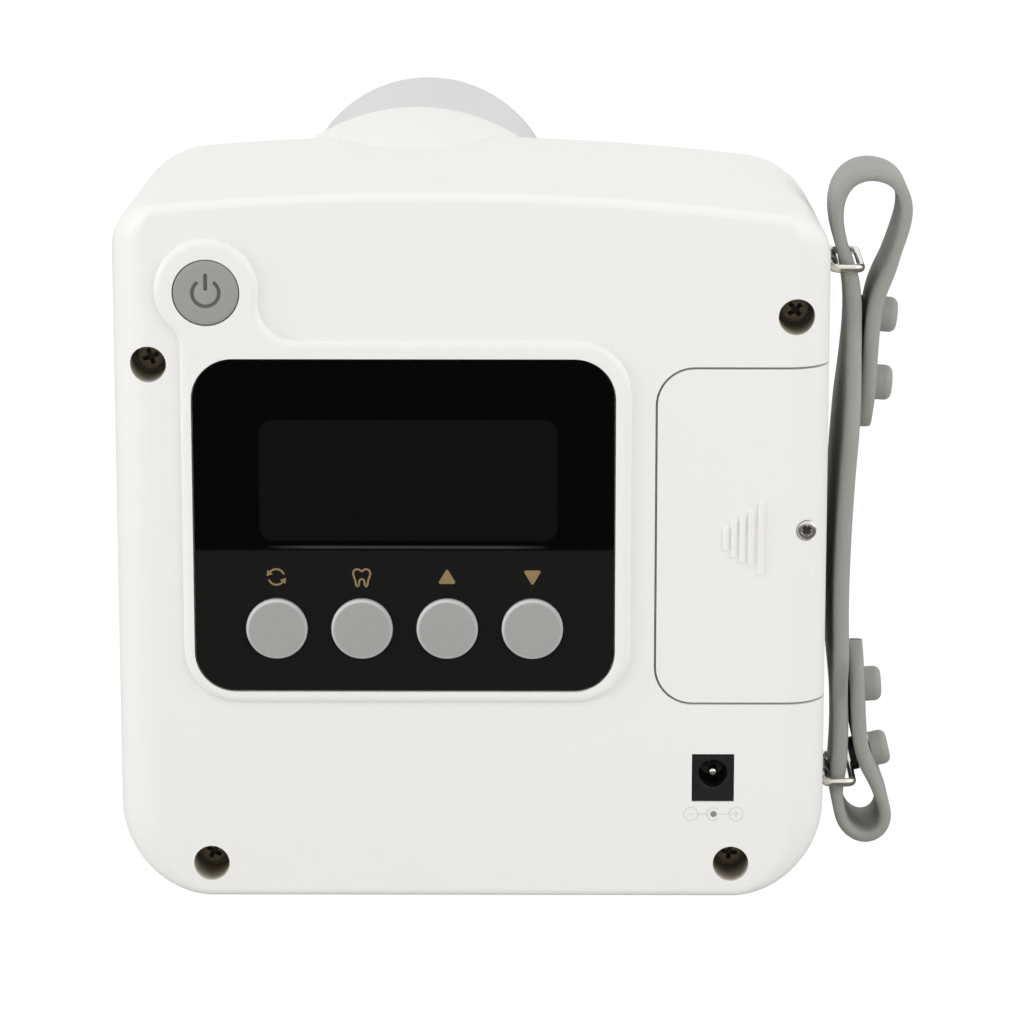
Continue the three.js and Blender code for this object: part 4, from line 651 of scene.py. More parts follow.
def make_frame():
    """The raised frame, with its edge rounded over."""
    root, start, rise, round_in = 1.5, -0.1, 1.3, 1.7
    rows = [[at(x, root, z) for x, z in frame_outline(0)]]
    for angle in quarter(7):
        inset, y = round_in * (1 - math.cos(angle)), start - rise * math.sin(angle)
        rows.append([at(x, y, z) for x, z in frame_outline(inset)])
    return laid_grid("frame", rows, True)


def make_door_ledge():
    """The ledge behind the battery door's edge, inside the shell."""
    back, reach_out = 4.0, 4.5
    ledge = rear_form("ledge", LEDGE_FRONT, TONGUE_Y)
    cut(ledge, rear_form("ledge_inside", back, BEYOND))
    band = slab("band", door_outline(reach_out), 0, TONGUE_Y)
    cut(band, slab("band_inside", door_outline(LEDGE_REACH_IN), NEAR, BEYOND))
    weld(band, box("side_band", 40.4, HALF_WIDTH, 8, TONGUE_Y, 39.9, 122.6))
    combine(ledge, band, "INTERSECT")
    return ledge


def make_rear_housing():
    tongue = ((SPLIT_Y, 0), (SPLIT_Y, TONGUE_INSET), (TONGUE_Y, TONGUE_INSET), (TONGUE_Y, WALL))
    rows = rear_rows(0) + [body_row(y, inset) for y, inset in tongue] + rear_rows(WALL, 4)[::-1]
    shell = laid_grid("rear_shell", rows, True)
    shell.data.materials.append(WHITE_SHELL)
    weld(shell, make_frame())
    post_radius, bore_radius, shank_radius = 5.8, 3.95, 1.8
    for x, z in SCREWS:
        post = rod("post", post_radius, TONGUE_INSET, TONGUE_Y, x, z)
        combine(post, rear_form("core", TONGUE_INSET, TONGUE_Y), "INTERSECT")
        weld(shell, post)
    opening = slab("opening", door_outline(0.5), NEAR, SPLIT_Y + 0.3)
    cut(opening, rear_form("under", LEDGE_FRONT, BEYOND))
    way_in = slab("way_in", door_outline(LEDGE_REACH_IN), NEAR, BEYOND)
    ledge = make_door_ledge()
    cut(shell, opening, way_in)
    weld(shell, ledge)
    through = 6
    cut(shell, slab("pocket", rounded_rectangle(*LENS_MIDDLE, 91.9, 74.5, 9.0), BEFORE, 0.9))
    cut(shell, slab("window", rounded_rectangle(-13.7, 94.1, 66.8, 29, 3), BEFORE, through))
    for x in BUTTON_X:
        cut(shell, rod("button_hole", BUTTON_HOLE, BEFORE, through, x, BUTTON_Z))
    cut(shell, rod("power_hole", 7.3, BEFORE, through, *POWER))
    x, z = INLET
    cut(shell, box("inlet_hole", x - 4.65, x + 4.65, BEFORE, through, z - 5.3, z + 5.6))
    for x, z in SCREWS:
        bore = rod("bore", bore_radius, BEFORE, 11.5, x, z)
        # The bore's walls take the painted shade
        bore.data.materials.append(PAINTED_BORE_SHADE)
        cut(shell, bore)
        cut(shell, rod("shank_hole", shank_radius, through, BEYOND, x, z, 24))
    round_edges(shell, 0.25)
    dress(shell, WHITE_SHELL, replaces=["rear_housing"])


make_rear_housing()

# Front housing, with the collar for the cone


def make_front_housing():
    shell = front_form("front_shell", 0, SPLIT_Y + 0.2)
    shell.data.materials.append(WHITE_SHELL)
    start, length, radius, growth, edge, collar = 40, 42, 37.5, 6, 2.5, 92
    profile = [(0, start)]
    for k in range(25):
        along = k / 24
        profile.append((radius + growth * along * along * (3 - 2 * along), start + length * k / 24))
    widest = radius + growth
    for angle in quarter(6):
        profile.append((widest - edge + edge * math.cos(angle), collar - edge + edge * math.sin(angle)))
    profile.append((0, collar))
    weld(shell, turned("hump", profile, *NOSE, 128))
    cut_start, cut_end, tongue_room_y, tongue_room_inset = 80, 95, (9, 14.3), 1.0
    cut(shell, front_form("cavity", WALL, tongue_room_y[0]))
    cut(shell, laid_grid("tongue_room", [body_row(y, tongue_room_inset) for y in tongue_room_y], True))
    seat_radius, socket_radius, port_radius, button_hole = 40.9, 38, 22, 7.8
    weld(shell, rod("seat", seat_radius, 82.4, 91.7, *NOSE, 96))
    cut(shell, rod("socket", socket_radius, 85, cut_end, *NOSE, 128))
    cut(shell, rod("port", port_radius, cut_start, cut_end, *NOSE, 96))
    guard = [(0, 87.7), (10.4, 87.7), (10.4, 89.8), (10.1, 90.4), (9.6, 90.6), (0, 90.6)]
    weld(shell, turned("guard", guard, *EXPOSURE, 64))
    cut(shell, rod("exposure_hole", button_hole, cut_start, cut_end, *EXPOSURE))
    half_high = 0.9
    for z in RING_Z.values():
        cut(shell, box("clip_slot", 70, 80, 35.7, 44.3, z - half_high, z + half_high))
    round_edges(shell, 0.25)
    dress(shell, WHITE_SHELL, replaces=["front_housing"])


make_front_housing()

# Battery door with its grip ribs, and the screws


def make_door():
    door = rear_form("door", 0, SPLIT_Y)
    door.data.materials.append(WHITE_SHELL)
    combine(door, slab("door_cutter", door_outline(0), NEAR, 15), "INTERSECT")
    cut(door, rear_form("door_inside", 2, BEYOND))
    half_width, root, rise, middle = 0.65, 0.12, 0.72, 81
    for x, height in ((55.4, 4.9), (57.1, 8.3), (58.9, 10.3), (60.8, 12.1), (63.0, 16)):
        section = []
        for k in range(13):
            angle = math.pi * k / 12
            section.append((x + half_width * math.cos(angle), root - rise * math.sin(angle)))
        ends = (middle - height / 2, middle + height / 2)
        weld(door, laid_grid("rib", [[at(px, py, z) for px, py in section] for z in ends], True))
    cut(door, rod("screw_seat", 2.4, NEAR, 1.8, *DOOR_SCREW, 32))
    round_edges(door, 0.22)
    dress(door, WHITE_SHELL, "door", replaces=["battery_door"])


make_door()


def cross_recess(x, z, face, reach, half, depth, turn):
    """A cross-shaped cutter that narrows with depth, turned about the screw's own line."""
    arms = []
    # One arm lies a little nearer, so that the two share no plane
    for angle, shift in ((turn, 0), (turn + 90, 0.03)):
        c, s = math.cos(math.radians(angle)), math.sin(math.radians(angle))
        rows = []
        for y, scale in ((face - 0.4 - shift, 1.1), (face + depth - shift, 0.45)):
            long = reach * scale
            corners = ((-long, -half), (long, -half), (long, half), (-long, half))
            rows.append([at(x + u * c - v * s, y, z + u * s + v * c) for u, v in corners])
        arms.append(laid_grid("arm", rows, True))
    weld(arms[0], arms[1])
    return arms[0]


# The head starts at face and the tip is length behind it.
# crown is a share of the head's height, and arm of its radius.
CASE_SCREW = {
    "face": 8.8, "head": 3.1, "height": 2.4, "shank": 1.5, "length": 17.4, "crown": 0.45, "arm": 0.16
}
SMALL_SCREW = {
    "face": 0.9, "head": 2.1, "height": 0.9, "shank": 1.0, "length": 8.0, "crown": 0.28, "arm": 0.24
}


def make_screw(name, x, z, turn, material, face, head, height, shank, length, crown, arm):
    """A screw with a crowned head and a cross recess."""
    rows = [(0, face)]
    for angle in quarter(6, 1):
        rows.append((head * math.sin(angle), face + height * crown * (1 - math.cos(angle))))
    rows += [(head, face + height), (shank, face + height), (shank, face + length - 1), (0, face + length)]
    screw = turned(name, rows, x, z, 40)
    screw.data.materials.append(material)
    recess = cross_recess(x, z, face, head * 0.66, head * arm, height * 0.6, turn)
    # The recess walls take a painted shade
    recess.data.materials.append(PAINTED_RECESS_SHADE)
    cut(screw, recess)
    round_edges(screw, 0.05, 1)
    return screw


def make_screws():
    for number, (x, z) in enumerate(SCREWS, 1):
        screw = make_screw(f"case_screw_{number}", x, z, 20 * number, DARK_STEEL, **CASE_SCREW)
        dress(screw, DARK_STEEL, replaces=[f"housing_screw_{number}"])
    screw = make_screw("door_screw", *DOOR_SCREW, 40, BRIGHT_METAL, **SMALL_SCREW)
    dress(screw, BRIGHT_METAL, "door", replaces=["battery_door_screw"])


make_screws()

# Lens and buttons


def make_lens():
    lens = slab("lens", rounded_rectangle(*LENS_MIDDLE, 91.3, 73.9, 8.7, 20), -0.9, 0.6)
    for x in BUTTON_X:
        cut(lens, rod("lens_hole", BUTTON_HOLE, -4, 4, x, BUTTON_Z))
    round_edges(lens, 0.3)
    dress(lens, LENS, replaces=["display_lens"])


make_lens()


def make_button(name, x, z, face, radius, flange, flange_y, flange_end):
    """A button with a nearly flat face, a rounded edge and a flange that keeps it in."""
    edge, depth, fall = 0.7, 0.6, 0.08
    rows = [(0, face), (radius * 0.5, face + 0.01), (radius - 1.0, face + 0.03), (radius - 0.75, face + 0.06)]
    for angle in quarter(5, 1):
        rows.append((radius - edge + edge * math.sin(angle), face + fall + depth * (1 - math.cos(angle))))
    rows += [(radius, flange_y), (flange, flange_y), (flange, flange_end), (0, flange_end)]
    return turned(name, rows, x, z, 72)


def mark_painted_highlight(piece, x, z, start, full):
    """Painted highlight values that rise over a button's rounded edge, more towards the upper left, as if lit
    from there.
    """
    toward_x, toward_z, least, extra = -0.55, 0.83, 0.28, 0.5
    centre = at(x, 0, z)
    painted_highlight = piece.data.attributes.new("painted_highlight", "FLOAT", "POINT")
    for vertex, value in zip(piece.data.vertices, painted_highlight.data):
        away = (vertex.co - centre) * 1000
        reach = math.hypot(away.x, away.z)
        lit = max((toward_x * away.x + toward_z * away.z) / max(reach, 0.001), 0)
        value.value = (least + extra * lit) * min(max((reach - start) / (full - start), 0), 1)


def make_function_buttons():
    for number, x in enumerate(BUTTON_X, 1):
        node = f"function_button_{number}"
        button = make_button(f"function_cap_{number}", x, BUTTON_Z, -2.1, 6.7, 8.0, 2.9, 3.9)
        round_edges(button, 0)
        # Painted highlight on the button's rounded edge
        mark_painted_highlight(button, x, BUTTON_Z, 5.95, 6.35)
        dress(button, BUTTON_RUBBER, node + "_cap", replaces=[node])


make_function_buttons()


def swept(name, path, y, radius):
    """A round cord of one radius along a path in x and z, with rounded ends."""
    rows = []
    for i, (x, z) in enumerate(path):
        before, after = path[max(i - 1, 0)], path[min(i + 1, len(path) - 1)]
        along = Vector((after[0] - before[0], 0, after[1] - before[1])).normalized()
        side = Vector((along.z, 0, -along.x))
        row = []
        for angle in full_turn(12):
            offset = side * radius * math.cos(angle) + Vector((0, radius * math.sin(angle), 0))
            row.append(at(x + offset.x, y + offset.y, z + offset.z))
        rows.append(row)

    def cap(row, before, end):
        """Rows that round off an end."""
        along = Vector((end[0] - before[0], 0, end[1] - before[1])).normalized() * radius * 0.001
        middle = sum(row, Vector()) / len(row)
        laid = []
        for angle in quarter(3, 1):
            share = max(math.cos(angle), 0.02)
            laid.append([middle + (p - middle) * share + along * math.sin(angle) for p in row])
        return laid

    first, last = cap(rows[0], path[1], path[0]), cap(rows[-1], path[-2], path[-1])
    return laid_grid(name, first[::-1] + rows + last, True)


def make_power_button():
    x, z = POWER
    groove_y, ring_radius = -1.62, 2.9
    button = make_button("power_cap", x, z, -1.6, 7.12, 8.5, 2.9, 4.1)
    ring = []
    for degrees in range(42, 319, 6):
        angle = math.radians(degrees)
        ring.append((x + ring_radius * math.sin(angle), z + ring_radius * math.cos(angle)))
    bar = [(x, z + 3.85), (x, z + 2.4), (x, z + 0.95)]
    grooves = [swept("ring_groove", ring, groove_y, 0.41), swept("bar_groove", bar, groove_y, 0.44)]
    button.data.materials.append(POWER_RUBBER)
    # The grooves' walls take a painted shade
    for groove in grooves:
        groove.data.materials.append(PAINTED_GROOVE_SHADE)
    cut(button, *grooves)
    round_edges(button, 0.06, 2, 30)
    dress(button, POWER_RUBBER, "power_button_cap", replaces=["power_button"])


make_power_button()

# Printed signs

INK = 0.00003
LABEL_Z = 72.5
LENS_FACE = -0.925
HOUSING_FACE = -0.025
SIGN_LINE = 0.42


def ribbon(name, path, width, y, closed=False):
    """A flat printed line of one width along a path in x and z."""
    count = len(path)
    rows = [[], []]
    for i, (x, z) in enumerate(path):
        if closed:
            before, after = path[i - 1], path[(i + 1) % count]
        else:
            before, after = path[max(i - 1, 0)], path[min(i + 1, count - 1)]
        along = Vector((after[0] - before[0], after[1] - before[1])).normalized()
        for row, side in zip(rows, (1, -1)):
            row.append(at(x + side * along.y * width / 2, y, z - side * along.x * width / 2))
    piece = laid_grid(name, rows, closed, filled=False)
    only(piece)
    step = piece.modifiers.new("ink", "SOLIDIFY")
    step.thickness = INK
    step.offset = 0
    bpy.ops.object.modifier_apply(modifier=step.name)
    work_on(piece)
    turn_outward()
    put_down()
    return piece


def printed(name, outline, y):
    """A flat printed patch."""
    half = INK * 500
    return slab(name, outline, y - half, y + half)


def gather(name, parts):
    """Makes several parts one piece."""
    only(parts[0])
    for part in parts[1:]:
        part.select_set(True)
    bpy.ops.object.join()
    parts[0].name = name
    return parts[0]


def sign(piece):
    dress(piece, GOLD_PRINT)


def make_turn_sign(x):
    """Two arrows that chase each other, for the turn through the modes."""
    radius, barb, reach = 1.75, 0.75, 1.2
    parts = []
    for start in (20, 200):
        end = start + 120
        parts.append(ribbon("turn", arc(x, LABEL_Z, radius, start, end, 16), SIGN_LINE, LENS_FACE))
        nx, nz = math.cos(math.radians(end)), math.sin(math.radians(end))
        px, pz = x + radius * nx, LABEL_Z + radius * nz
        tip = (px - nz * reach, pz + nx * reach)
        head = [(px + nx * barb, pz + nz * barb), tip, (px - nx * barb, pz - nz * barb)]
        parts.append(printed("turn_head", head, LENS_FACE))
    sign(gather("sign_turn", parts))


def make_tooth_sign(x):
    half = [
        (0, 1.35), (0.75, 1.75), (1.5, 1.6), (1.85, 0.9), (1.7, 0.05), (1.4, -0.8), (1.25, -1.7),
        (0.95, -2.1), (0.65, -1.7), (0.5, -0.8), (0, -0.45)
    ]
    tooth = half + [(-px, pz) for px, pz in reversed(half[1:-1])]
    line = smooth_loop([(x + px, LABEL_Z + pz) for px, pz in tooth], 6)
    sign(ribbon("sign_tooth", line, SIGN_LINE, LENS_FACE, closed=True))


def make_arrow_sign(name, x, way):
    """A triangle with rounded corners, which points up or down."""
    reach, round_off, lift = 1.65, 0.35, 0.35
    outline = []
    for angle in (90, 210, 330):
        cx = x + reach * math.cos(math.radians(angle))
        cz = LABEL_Z - way * lift + way * reach * math.sin(math.radians(angle))
        turn = (angle - 60) * way
        outline += arc(cx, cz, round_off, turn, turn + 120 * way, 5)
    sign(printed(name, outline, LENS_FACE))


make_turn_sign(BUTTON_X[0])
make_tooth_sign(BUTTON_X[1])
make_arrow_sign("sign_up", BUTTON_X[2], 1)
make_arrow_sign("sign_down", BUTTON_X[3], -1)

# Power inlet and the sign for its polarity


def make_inlet():
    x, z = INLET
    inlet = box("inlet", x - 4.4, x + 4.4, 0.2, 14.2, z - 5.15, z + 5.15)
    cut(inlet, rod("socket", 3.15, -2, 10.2, *JACK, 64), rod("pin_hole", 1.3, 5, BEYOND, *JACK, 24))
    round_edges(inlet, 0.15)
    dress(inlet, INLET_BLACK, replaces=["power_inlet"])
    profile = [
        (0, 1.2), (0.5, 1.25), (0.8, 1.45), (0.97, 1.8), (1.0, 2.3), (1.0, 13.4), (1.8, 13.4), (1.8, 14.2),
        (0, 14.2)
    ]
    pin = turned("inlet_pin", profile, *JACK, 40)
    round_edges(pin, 0)
    dress(pin, BRIGHT_METAL, replaces=["power_inlet_pin"])


make_inlet()


def make_polarity_sign():
    """A dot in a cup between a minus and a plus, each in its ring."""
    x, z = POLARITY_SIGN
    thin, thick, aside, ring = 0.22, 0.24, 5.0, 1.55
    lines = (
        ("minus_ring", circle(x - aside, z, ring), thin, True),
        ("minus", [(x - 5.7, z), (x - 4.3, z)], thick, False),
        ("plus_ring", circle(x + aside, z, ring), thin, True),
        ("plus_across", [(x + 4.3, z), (x + 5.7, z)], thick, False),
        ("plus_up", [(x + aside, z + 0.7), (x + aside, z + 0.14)], thick, False),
        ("plus_down", [(x + aside, z - 0.14), (x + aside, z - 0.7)], thick, False),
        ("left_line", [(x - 3.4, z), (x - 1.6, z)], thin, False),
        ("right_line", [(x + 0.8, z), (x + 3.4, z)], thin, False),
        ("cup", arc(x, z, 1.5, 50, 310, 24), thin, False),
    )
    parts = []
    for name, path, width, closed in lines:
        part = ribbon(name, path, width, HOUSING_FACE, closed)
        part.data.materials.append(GREY_PRINT)
        parts.append(part)
    dot = printed("dot", circle(x, z, 0.7, 24), HOUSING_FACE)
    dot.data.materials.append(DARK_PRINT)
    dress(gather("sign_polarity", [*parts, dot]), GREY_PRINT)


make_polarity_sign()

# Cone, its end ring, the ring that keeps it in and the lining of its bore, as profiles of (radius, y)

CONE = [
    (30.1, 85.3), (37.6, 85.3), (37.6, 88.3), (33.8, 88.3), (33.5, 88.6), (32.55, 202.7), (31.3, 202.7),
    (31.3, 206.8), (30.1, 206.8)
]
END_RING = [
    (31.65, 203), (32.55, 203), (32.5, 206.9), (32.35, 207.4), (31.95, 207.85), (31.4, 208), (29.5, 208),
    (29.1, 207.6), (29.1, 207.1), (31.65, 207.1)
]
KEEPER_RING = [(33.8, 88.6), (37.6, 88.6), (37.6, 91.1), (37.1, 91.7), (34.3, 91.7), (33.8, 91.3)]
LINING = [(28.8, 88.6), (29.8, 88.6), (29.8, 202), (28.8, 202)]


def make_cone():
    for name, profile, sides, edge, material, slot, node in (
        ("cone", CONE, 128, 0.2, CONE_SHELL, "cone_plastic", "beam_cone"),
        ("end_ring", END_RING, 128, 0.12, CONE_SHELL, "cone_plastic", "cone_end_ring"),
        ("keeper_ring", KEEPER_RING, 128, 0.2, CONE_SHELL, "cone_plastic", "cone_retaining_ring"),
        ("lining", LINING, 96, 0.15, LINER, "shield_metal", "cone_liner"),
    ):
        piece = turned(name, profile, *NOSE, sides, ring=True)
        round_edges(piece, edge)
        dress(piece, material, replaces=[node])


make_cone()


def make_exposure_button():
    base_y, flange, radius, edge, rim_y = 84.6, 8.9, 7.5, 1.2, 91.5
    rows = [(0, base_y), (flange, base_y), (flange, base_y + 1.5), (radius, base_y + 1.5)]
    for angle in quarter(6):
        rows.append((radius - edge + edge * math.cos(angle), rim_y - edge + edge * math.sin(angle)))
    rows += [(5.6, 91.3), (4.6, 91.0), (3.2, 90.8), (1.6, 90.72), (0, 90.7)]
    button = turned("exposure_cap", rows, *EXPOSURE, 72)
    round_edges(button, 0)
    dress(button, BUTTON_RUBBER, "exposure_button_cap", replaces=["exposure_button"])


make_exposure_button()

# Strap, rings, clips and studs

# The strap's middle line in x and z, from the upper tail round both loops to the lower tail
STRAP_PATH = [
    (87.3, 97.3), (87.5, 102), (88, 107.6), (88.2, 112), (88.4, 116.7), (88.7, 121.2), (89.2, 125.7),
    (89.95, 128.9), (91.1, 132), (92.4, 135.15), (93.6, 138.8), (94.65, 142), (95.45, 145),
    (95.75, 147.8), (95.35, 150.5), (94.2, 152.9), (92.3, 154.65), (90, 155.5), (87.6, 155.75),
    (85.2, 155.25), (83.1, 153.95), (81.55, 151.8), (80.7, 149.1), (80.5, 146.3), (80.85, 143.2),
    (81.45, 140.6), (82.15, 138.2), (83.1, 135.3), (83.95, 131.5), (84.5, 127), (84.6, 121), (84.4, 114),
    (84.1, 107), (83.6, 100), (82.9, 90), (82.25, 76.5), (81.95, 63), (82.1, 53), (82.4, 43), (83, 34),
    (83.15, 26.5), (82.95, 20.5), (82.65, 16.9), (82.5, 13.6), (82.75, 11.5), (83.2, 9.25), (83.95, 7),
    (85.25, 5.15), (87, 3.9), (89, 3.4), (90.95, 3.85), (92.4, 5), (93.25, 6.6), (93.5, 8.4),
    (93.2, 10.4), (92.5, 12.4), (91.7, 14.6), (90.75, 17), (89.65, 19.3), (88.65, 21.6), (87.95, 24.1),
    (87.5, 26.6), (87.1, 31.2), (86.85, 36), (86.6, 40.6), (86.45, 47.4),
]
STRAP_Y = 40.0
STRAP_WIDTH, HAND_WIDTH = 20.0, 46
STRAP_HALF_THICKNESS, LOOP_THINNING = 1.7, 0.35
STRAP_END_RADIUS = 10
# Shares of the strap's length at which the upper tail and loop end, and the lower loop and tail start
UPPER_END, LOWER_START = 0.3, 0.7


def dense_line(points, steps):
    """A smooth line through points, with its steps crowded where the points are close."""
    points = [Vector(p) for p in points]
    points = [2 * points[0] - points[1]] + points + [2 * points[-1] - points[-2]]
    line = []
    for i in range(1, len(points) - 2):
        p0, p1, p2, p3 = points[i - 1:i + 3]
        d0, d1, d2 = (max((b - a).length, 1e-4) ** 0.5 for a, b in ((p0, p1), (p1, p2), (p2, p3)))
        t1 = ((p1 - p0) / d0 - (p2 - p0) / (d0 + d1) + (p2 - p1) / d1) * d1
        t2 = ((p2 - p1) / d1 - (p3 - p1) / (d1 + d2) + (p3 - p2) / d2) * d1
        for k in range(steps):
            t = k / steps
            line.append(
                p1 * (2 * t ** 3 - 3 * t ** 2 + 1) + t1 * (t ** 3 - 2 * t ** 2 + t)
                + p2 * (3 * t ** 2 - 2 * t ** 3) + t2 * (t ** 3 - t ** 2)
            )
    line.append(points[-2])
    return line


def strap_line(steps):
    """Points, directions and distances at even steps along the strap's middle line, and its length."""
    dense = dense_line(STRAP_PATH, 24)
    lengths = [0.0]
    for a, b in zip(dense, dense[1:]):
        lengths.append(lengths[-1] + (b - a).length)
    line = []
    j = 0
    for k in range(steps + 1):
        wanted = lengths[-1] * k / steps
        while j < len(lengths) - 2 and lengths[j + 1] < wanted:
            j += 1
        share = (wanted - lengths[j]) / (lengths[j + 1] - lengths[j])
        line.append((dense[j].lerp(dense[j + 1], share), (dense[j + 1] - dense[j]).normalized(), wanted))
    return line, lengths[-1]


def smooth_step(value, low, high):
    t = min(max((value - low) / (high - low), 0), 1)
    return t * t * (3 - 2 * t)


def strap_half_width(z, along, length):
    """Half the strap's width, which is more behind the hand and rounded off at both tails."""
    width = STRAP_WIDTH
    if length * UPPER_END < along < length * LOWER_START:
        width += (HAND_WIDTH - STRAP_WIDTH) * min(1 - smooth_step(z, 98, 124), smooth_step(z, 34, 50))
    from_end = min(along, length - along)
    rounding = math.sqrt(1 - (1 - from_end / STRAP_END_RADIUS) ** 2) if from_end < STRAP_END_RADIUS else 1
    return width / 2 * max(rounding, 0.12)


def strap_half_thickness(z):
    """Half the strap's thickness, which is less in the loops beyond the rings."""
    in_loop = max(smooth_step(z, 131.8, 138.8), 1 - smooth_step(z, 13.4, 20.4))
    return STRAP_HALF_THICKNESS - LOOP_THINNING * in_loop


def make_strap():
    line, length = strap_line(320)
    rows = []
    for point, along, distance in line:
        side = Vector((along.y, -along.x))
        half = strap_half_width(point.y, distance, length)
        thick = strap_half_thickness(point.y)
        edge = min(1.5, thick - 0.1)
        section = []
        corners = ((half, thick, 0), (-half, thick, 90), (-half, -thick, 180), (half, -thick, 270))
        for across, deep, start in corners:
            middle_across = across - math.copysign(edge, across)
            middle_deep = deep - math.copysign(edge, deep)
            for k in range(6):
                angle = math.radians(start + 18 * k)
                section.append((middle_across + edge * math.cos(angle), middle_deep + edge * math.sin(angle)))
        rows.append([at(point.x + side.x * n, STRAP_Y + w, point.y + side.y * n) for w, n in section])
    strap = laid_grid("strap", rows, True)
    smooth_by_angle(strap, 50)
    dress(strap, STRAP_RUBBER, replaces=["hand_strap"])


make_strap()

# Each stud's height, the length of its pin, its run of the strap, its lean in degrees where it doesn't stand
# square on the strap, and the depth of the black ring of painted shade between the strap's two layers
STUDS = (
    (123, 7.5, "upper", 0, 1.0),
    (107.4, 7.0, "upper", 0, 0.6),
    (36.9, 6.8, "lower", 0, 0.75),
    (21.0, 3.2, "lower", 13, 1.7),
)
OUTER_RUN_X = 85.95


def stud_place(z, run):
    """The point at height z on the strap's outer run, and the outward direction there."""
    line, length = strap_line(800)
    found = []
    for point, along, distance in line:
        on_run = distance < length * UPPER_END if run == "upper" else distance > length * LOWER_START
        if on_run and point.x > OUTER_RUN_X:
            found.append((abs(point.y - z), point, Vector((along.y, -along.x))))
    point, side = min(found, key=lambda place: place[0])[1:]
    return point, side if side.x > 0 else -side


def make_stud(number, z, pin, run, lean, socket):
    point, outward = stud_place(z, run)
    if lean:
        outward = Vector((math.cos(math.radians(lean)), math.sin(math.radians(lean))))
    across = Vector((-outward.y, outward.x))

    def laid_round(profile):
        """Rows of a form turned about the stud's own line; the profile is a list of (radius, distance)."""
        laid = []
        for radius, distance in profile:
            row = []
            for angle in full_turn(48):
                u, v = radius * math.cos(angle), radius * math.sin(angle)
                px = point.x + outward.x * distance + across.x * u
                pz = point.y + outward.y * distance + across.y * u
                row.append(at(px, STRAP_Y + v, pz))
            laid.append(row)
        return laid

    seat, shank, head, straight = STRAP_HALF_THICKNESS, 1.8, 3.95, 2.4
    under = seat + 0.05
    rows = [(0, seat - pin), (shank, seat - pin), (shank, under), (head, under), (head, seat + straight)]
    for angle in quarter(6, 1):
        rows.append((2.35 + 1.6 * math.cos(angle), seat + straight + 1.65 * math.sin(angle)))
    rows.append((0, seat + 4.1))
    stud = laid_grid(f"stud_{number}", laid_round(rows), True)
    round_edges(stud, 0)
    dress(stud, STRAP_RUBBER, replaces=[f"strap_stud_{number}"])

    # Painted shade: a black ring round the stud fills the gap between the strap's two layers, where it lies
    # in shadow
    inner, outer, top = 1.85, 3.8, -1.6
    low = top - socket
    rows = [(inner, low), (outer - 0.2, low), (outer, low + 0.2), (outer, top), (inner, top)]
    ring = laid_grid(f"stud_shadow_ring_{number}", laid_round(rows), True, closed_along=True, filled=False)
    round_edges(ring, 0)
    dress(ring, BLACK_PLASTIC)


for number, stud in enumerate(STUDS, 1):
    make_stud(number, *stud)

# Each wire ring is a flat rounded rectangle between two lines in x; the clip goes round the inner one
INNER_WIRE_X, OUTER_WIRE_X = 79.5, 85.95


def make_ring(name, z, node):
    """A wire ring, swept with a round section that is a little higher than it is wide."""
    length, corner, half_wide, half_high = 22.6, 1.8, 0.75, 0.98
    middle_x = (INNER_WIRE_X + OUTER_WIRE_X) / 2
    outline = rounded_rectangle(middle_x, STRAP_Y, OUTER_WIRE_X - INNER_WIRE_X, length, corner, 10)
    centre = Vector((middle_x, STRAP_Y))
    rows = []
    for i, (x, y) in enumerate(outline):
        before, after = Vector(outline[i - 2]), Vector(outline[(i + 2) % len(outline)])
        along = (after - before).normalized()
        side = Vector((along.y, -along.x))
        if side.dot(Vector((x, y)) - centre) < 0:
            side = -side
        row = []
        for angle in full_turn(16):
            out = half_wide * math.cos(angle)
            row.append(at(x + side.x * out, y + side.y * out, z + half_high * math.sin(angle)))
        rows.append(row)
    ring = laid_grid(name, rows, True, closed_along=True, filled=False)
    smooth_by_angle(ring, 60)
    dress(ring, BRIGHT_METAL, replaces=[node])


def make_clip(name, z, node):
    """An eye round the ring's inner wire, with a tail through the wall and a flange behind it."""
    front, back, inside_x, wall_x = 36, 44, 72.6, 73.8
    clip = slab(name, circle(INNER_WIRE_X, z, 1.6, 32), front, back)
    weld(clip, box("tail", inside_x, 79.3, front, back, z - 0.6, z + 0.6))
    weld(clip, box("flange", inside_x, wall_x, front, back, z - 2.5, z + 2.5))
    cut(clip, slab("hole", circle(INNER_WIRE_X, z, 1.1, 32), 30, 50))
    round_edges(clip, 0.1)
    dress(clip, STEEL, replaces=[node])


for place, z in RING_Z.items():
    make_ring(f"wire_ring_{place}", z, f"strap_ring_{place}")
    make_clip(f"clip_{place}", z, f"ring_clip_{place}")

# Finishes of the nodes that stay as they are, inside the housing

INSIDE = (
    (BLACK_PLASTIC, (
        "display_module", "power_switch", "battery_tray", "capacitor", "buzzer", "exposure_switch",
        "button_switch_1", "button_switch_2", "button_switch_3", "button_switch_4"
    )),
    (BOARD, ("display_board", "power_board", "inlet_board", "main_board", "exposure_board")),
    (ALUMINIUM, ("beam_filter", "generator_case", "generator_cover")),
    (STEEL, ("generator_screw_1", "generator_screw_2", "tube_cathode")),
    (BRASS, ("battery_contact_1", "battery_contact_2")),
    (BATTERY_WRAP, ("battery_pack",)),
    (SHIELD, ("collimator_plate",)),
    (GLASS, ("x_ray_tube",)),
    (COPPER, ("tube_anode",)),
    (CORE_IRON, ("high_voltage_transformer",)),
    (WINDING, ("inverter_coil",)),
)
for material, names in INSIDE:
    for name in names:
        nodes[name].data.materials.clear()
        nodes[name].data.materials.append(material)

# Floor, background and light

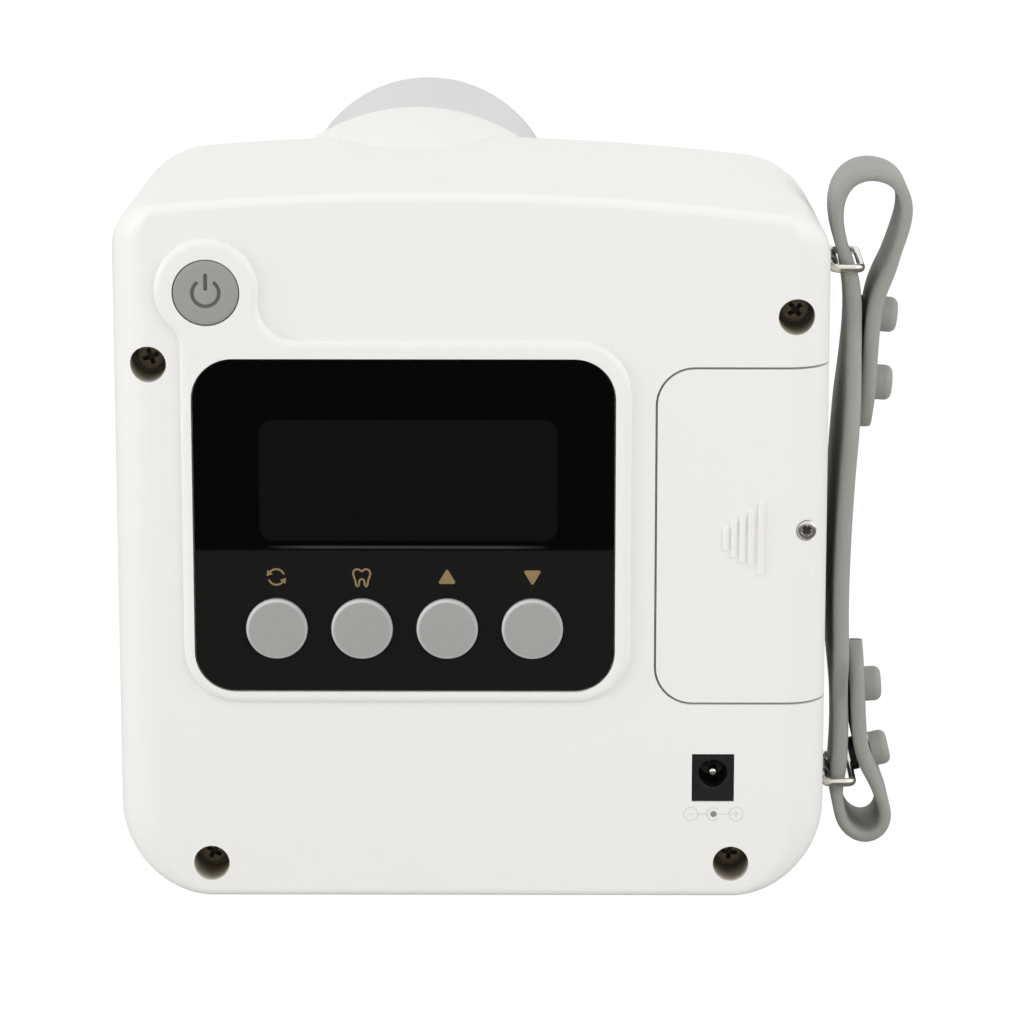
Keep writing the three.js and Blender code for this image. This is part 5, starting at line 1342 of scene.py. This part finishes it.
# Each lamp's name, size, watts and place, and the height that it is aimed at
LAMPS = (
    ("key", 1.2, 1.8, (-1.0, -1.3, 1.5), 0.08),
    ("top", 1.4, 3.3, (0.2, 0.3, 1.9), 0.1),
    ("right", 1.2, 10.0, (1.4, -1.0, 0.9), 0.08),
    ("left", 1.2, 16.0, (-2.0, -0.7, 0.5), 0.08),
)
# How bright the floor glows to the camera and in mirrored light, and the share of the glow in what is seen
FLOOR_SEEN, FLOOR_MIRRORED, FLOOR_SHARE = 1.06, 0.16, 0.93
# How bright the background is where it is seen, and where it only lights
SKY_SEEN, SKY_LIGHT = 1.0, 0.72


def make_floor():
    """A pale floor that shows as white and stays dim in what mirrors it."""
    bpy.ops.object.select_all(action="DESELECT")
    bpy.ops.mesh.primitive_plane_add(size=12, location=(0, 0, -0.0002))
    floor = bpy.context.object
    floor.name = "floor"
    material, net, shader = new_material("pale floor")
    net.feed(shader, {"Base Color": (0.8, 0.8, 0.8), "Roughness": 0.9, "Specular IOR Level": 0.1})
    path = net.add("LightPath", {}).outputs
    glow = net.add("Emission", {"Strength": FLOOR_SEEN}).outputs["Emission"]
    dim_glow = net.add("Emission", {"Strength": FLOOR_MIRRORED}).outputs["Emission"]
    share = net.reckon("MULTIPLY", path["Is Camera Ray"], FLOOR_SHARE)
    seen = net.add("MixShader", {"Fac": share, 1: shader.outputs["BSDF"], 2: glow}).outputs["Shader"]
    surface = net.add("MixShader", {"Fac": path["Is Glossy Ray"], 1: seen, 2: dim_glow}).outputs["Shader"]
    net.feed(material.node_tree.nodes["Material Output"], {"Surface": surface})
    floor.data.materials.append(material)


def make_world():
    """A white background that lights a little less than it shows."""
    world = bpy.data.worlds.new("studio")
    bpy.context.scene.world = world
    world.use_nodes = True
    net = Nodes(world.node_tree)
    path = net.add("LightPath", {}).outputs
    seen = net.reckon("MAXIMUM", path["Is Camera Ray"], path["Is Glossy Ray"])
    seen = net.reckon("MAXIMUM", seen, path["Is Transmission Ray"])
    level = net.span(seen, 0, 1, SKY_LIGHT, SKY_SEEN)
    net.feed(world.node_tree.nodes["Background"], {"Color": (1, 1, 1), "Strength": level})


def make_lamps():
    for name, size, watts, place, aim_z in LAMPS:
        data = bpy.data.lights.new(name, "AREA")
        data.shape = "SQUARE"
        data.size = size
        data.energy = watts
        lamp = bpy.data.objects.new(name, data)
        bpy.context.scene.collection.objects.link(lamp)
        lamp.location = place
        lamp.rotation_euler = (Vector((0, 0, aim_z)) - Vector(place)).to_track_quat("-Z", "Y").to_euler()


make_floor()
make_world()
make_lamps()
bpy.context.scene.view_settings.view_transform = "Standard"
